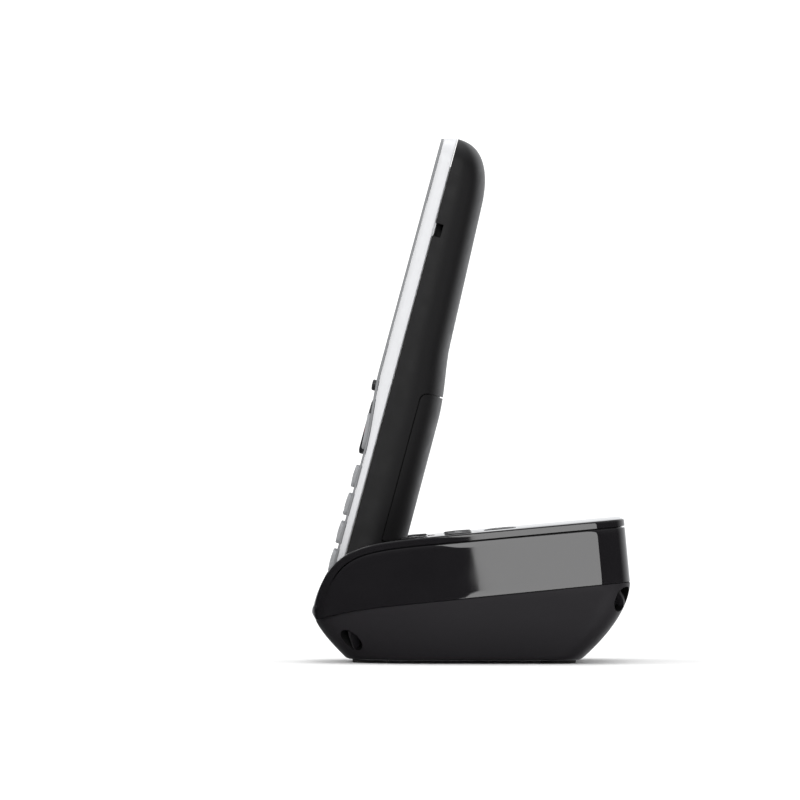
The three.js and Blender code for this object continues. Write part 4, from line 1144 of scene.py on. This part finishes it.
def relief(name, outlines, top, place, body, material, slot):
    """Flat symbols standing just above a surface."""
    piece, *others = [plate(outline, top, place) for outline in outlines]
    for other in others:
        combine(piece, other, "UNION")
    piece.name = name
    return put(piece, body, material, slot)


def figure(text, size, top, place):
    """One character as a thin solid, centred on the local origin and following a surface."""
    curve = bpy.data.curves.new("figure", "FONT")
    curve.body, curve.size = text, size
    curve.extrude, curve.resolution_u = 1, 6
    holder = bpy.data.objects.new("figure", curve)
    bpy.context.scene.collection.objects.link(holder)
    mesh = bpy.data.meshes.new_from_object(holder.evaluated_get(bpy.context.evaluated_depsgraph_get()))
    bpy.data.objects.remove(holder)
    bpy.data.curves.remove(curve)
    points = np.array([v.co for v in mesh.vertices])
    points -= (points.max(axis=0) + points.min(axis=0)) / 2
    surface = top(points[:, 0], points[:, 1])
    points[:, 2] = np.where(points[:, 2] > 0, surface + LEGEND_RISE, surface - LEGEND_ROOT)
    piece = new_object("figure", points, [tuple(face.vertices) for face in mesh.polygons], place)
    bpy.data.meshes.remove(mesh)
    weld = bmesh.new()
    weld.from_mesh(piece.data)
    bmesh.ops.remove_doubles(weld, verts=weld.verts, dist=1e-3 * MM)
    weld.to_mesh(piece.data)
    weld.free()
    return piece


def bar(width, height, dx=0.0, dy=0.0):
    return shift(rounded_rectangle(width, height, min(width, height) * 0.3, 3), dx, dy)


def six_rays(reach=1.5, width=0.5):
    """A star of six straight rays as one outline."""
    x, y = [], []
    for ray in range(6):
        angle = math.radians(30 + 60 * ray)
        c, s = math.cos(angle), math.sin(angle)
        inner = angle + math.radians(30)
        x += [reach * c + width / 2 * s, reach * c - width / 2 * s, width * math.cos(inner)]
        y += [reach * s - width / 2 * c, reach * s + width / 2 * c, width * math.sin(inner)]
    return np.array(x), np.array(y)


def triangle(size, dx=0.0, dy=0.0, turn=0.0):
    angle = np.radians(turn + np.array([0, 120, 240]))
    return dx + size * np.cos(angle), dy + size * np.sin(angle)


def handset_symbol(turn, radius=2.6):
    """An arc with thick ends, like a receiver seen from the side."""
    angle = np.linspace(15, 165, 40)
    inner = radius * (0.68 - 0.3 * smoothstep(np.abs(angle - 90), 42, 54))
    spread = np.radians(np.concatenate([angle, angle[::-1]]))
    reach = np.concatenate([np.full(40, radius), inner[::-1]])
    x, y = reach * np.cos(spread), reach * np.sin(spread) - radius * 0.55
    c, s = math.cos(math.radians(turn)), math.sin(math.radians(turn))
    return x * c - y * s, x * s + y * c


def number_legends():
    for name in NUMBER_NAMES:
        x, z = KEYS["key_" + name][:2]
        top, place = handset_key_top("key_" + name), facing(x, z)
        if name == "star":
            relief("print_star", [six_rays()], top, place, "key_star", PRINT_DARK, "key_dark")
            continue
        piece = figure("#" if name == "hash" else name, 4.6, top, place)
        piece.name = "print_" + name
        put(piece, "key_" + name, PRINT_DARK, "key_dark")
    x, z = KEYS["key_5"][:2]
    below = -3.1
    nib = [(0, -0.2), (0.5, -0.2), (0.5, 0.12), (0.35, 0.22), (0, 0.26)]
    rise = float(handset_key_top("key_5")(0, below))
    place = facing(x, z + below) @ Matrix.Translation((0, 0, rise))
    put(finish_mesh(lathe("nib_5", nib, place, 24)), "key_5", KEY_SILVER, "key_silver")


def call_legends():
    symbols = {
        "key_talk": ([handset_symbol(125)], PRINT_GREEN),
        "key_end": ([handset_symbol(0)], PRINT_RED),
        "key_soft_left": ([bar(5, 0.6)], PRINT_LIGHT),
        "key_soft_right": ([bar(5, 0.6)], PRINT_LIGHT),
    }
    for name, (outlines, material) in symbols.items():
        top, place = handset_key_top(name), facing(*KEYS[name][:2])
        relief("print_" + name[4:], outlines, top, place, name, material, "key_silver")
    reach, level = 7.3, float(face_depth(NAV_Z)) + NAV_PROUD + 0.22
    arrows = [triangle(0.9, reach, 0, 0), triangle(0.9, 0, reach, 90)]
    arrows += [triangle(0.9, -reach, 0, 180), triangle(0.9, 0, -reach, 270)]
    level_top = lambda x, y: np.full(np.shape(x), level)
    place = facing(0, NAV_Z)
    relief("print_navigation", arrows, level_top, place, "key_navigation", PRINT_LIGHT, "key_silver")


def base_legends():
    symbols = {
        "volume_down": [bar(3.2, 0.7)],
        "volume_up": [bar(3.2, 0.7), bar(0.7, 3.2)],
        "skip_back": [triangle(1.5, 0.5, 0, 180), bar(0.6, 2.6, -1.6)],
        "skip_forward": [triangle(1.5, -0.5, 0, 0), bar(0.6, 2.6, 1.6)],
        "locate": [handset_symbol(0, 2.2)],
        "play": [triangle(1.9, -3.2, 0, 0), bar(2.6, 2.6, 3.2)],
    }
    for key, outlines in symbols.items():
        x, y, width, length, _ = BASE_KEYS[key]
        top = domed_top(width, length, base_key_crown(key), flat_at(BASE_KEY_PROUD))
        place = TOP_PLANE @ Matrix.Translation((x, y, 0))
        relief("print_base_" + key, outlines, top, place, "base_key_" + key, PRINT_LIGHT, "key_silver")


def inner_parts():
    """CAD parts that keep their shape: each takes the finish of its record slot."""
    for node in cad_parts.values():
        for holder in node.material_slots:
            if holder.material.name in NODE_FINISHES:
                holder.material = NODE_FINISHES[holder.material.name]


# ---- Build ----
make_studio()
top_cover()
upper_housing()
lower_housing()
feet()
cradle()
base_keys()
back_shell()
battery_cover()
silver_frame()
front_panel()
display_glass()
key_caps()
navigation_key()
number_legends()
call_legends()
base_legends()
inner_parts()
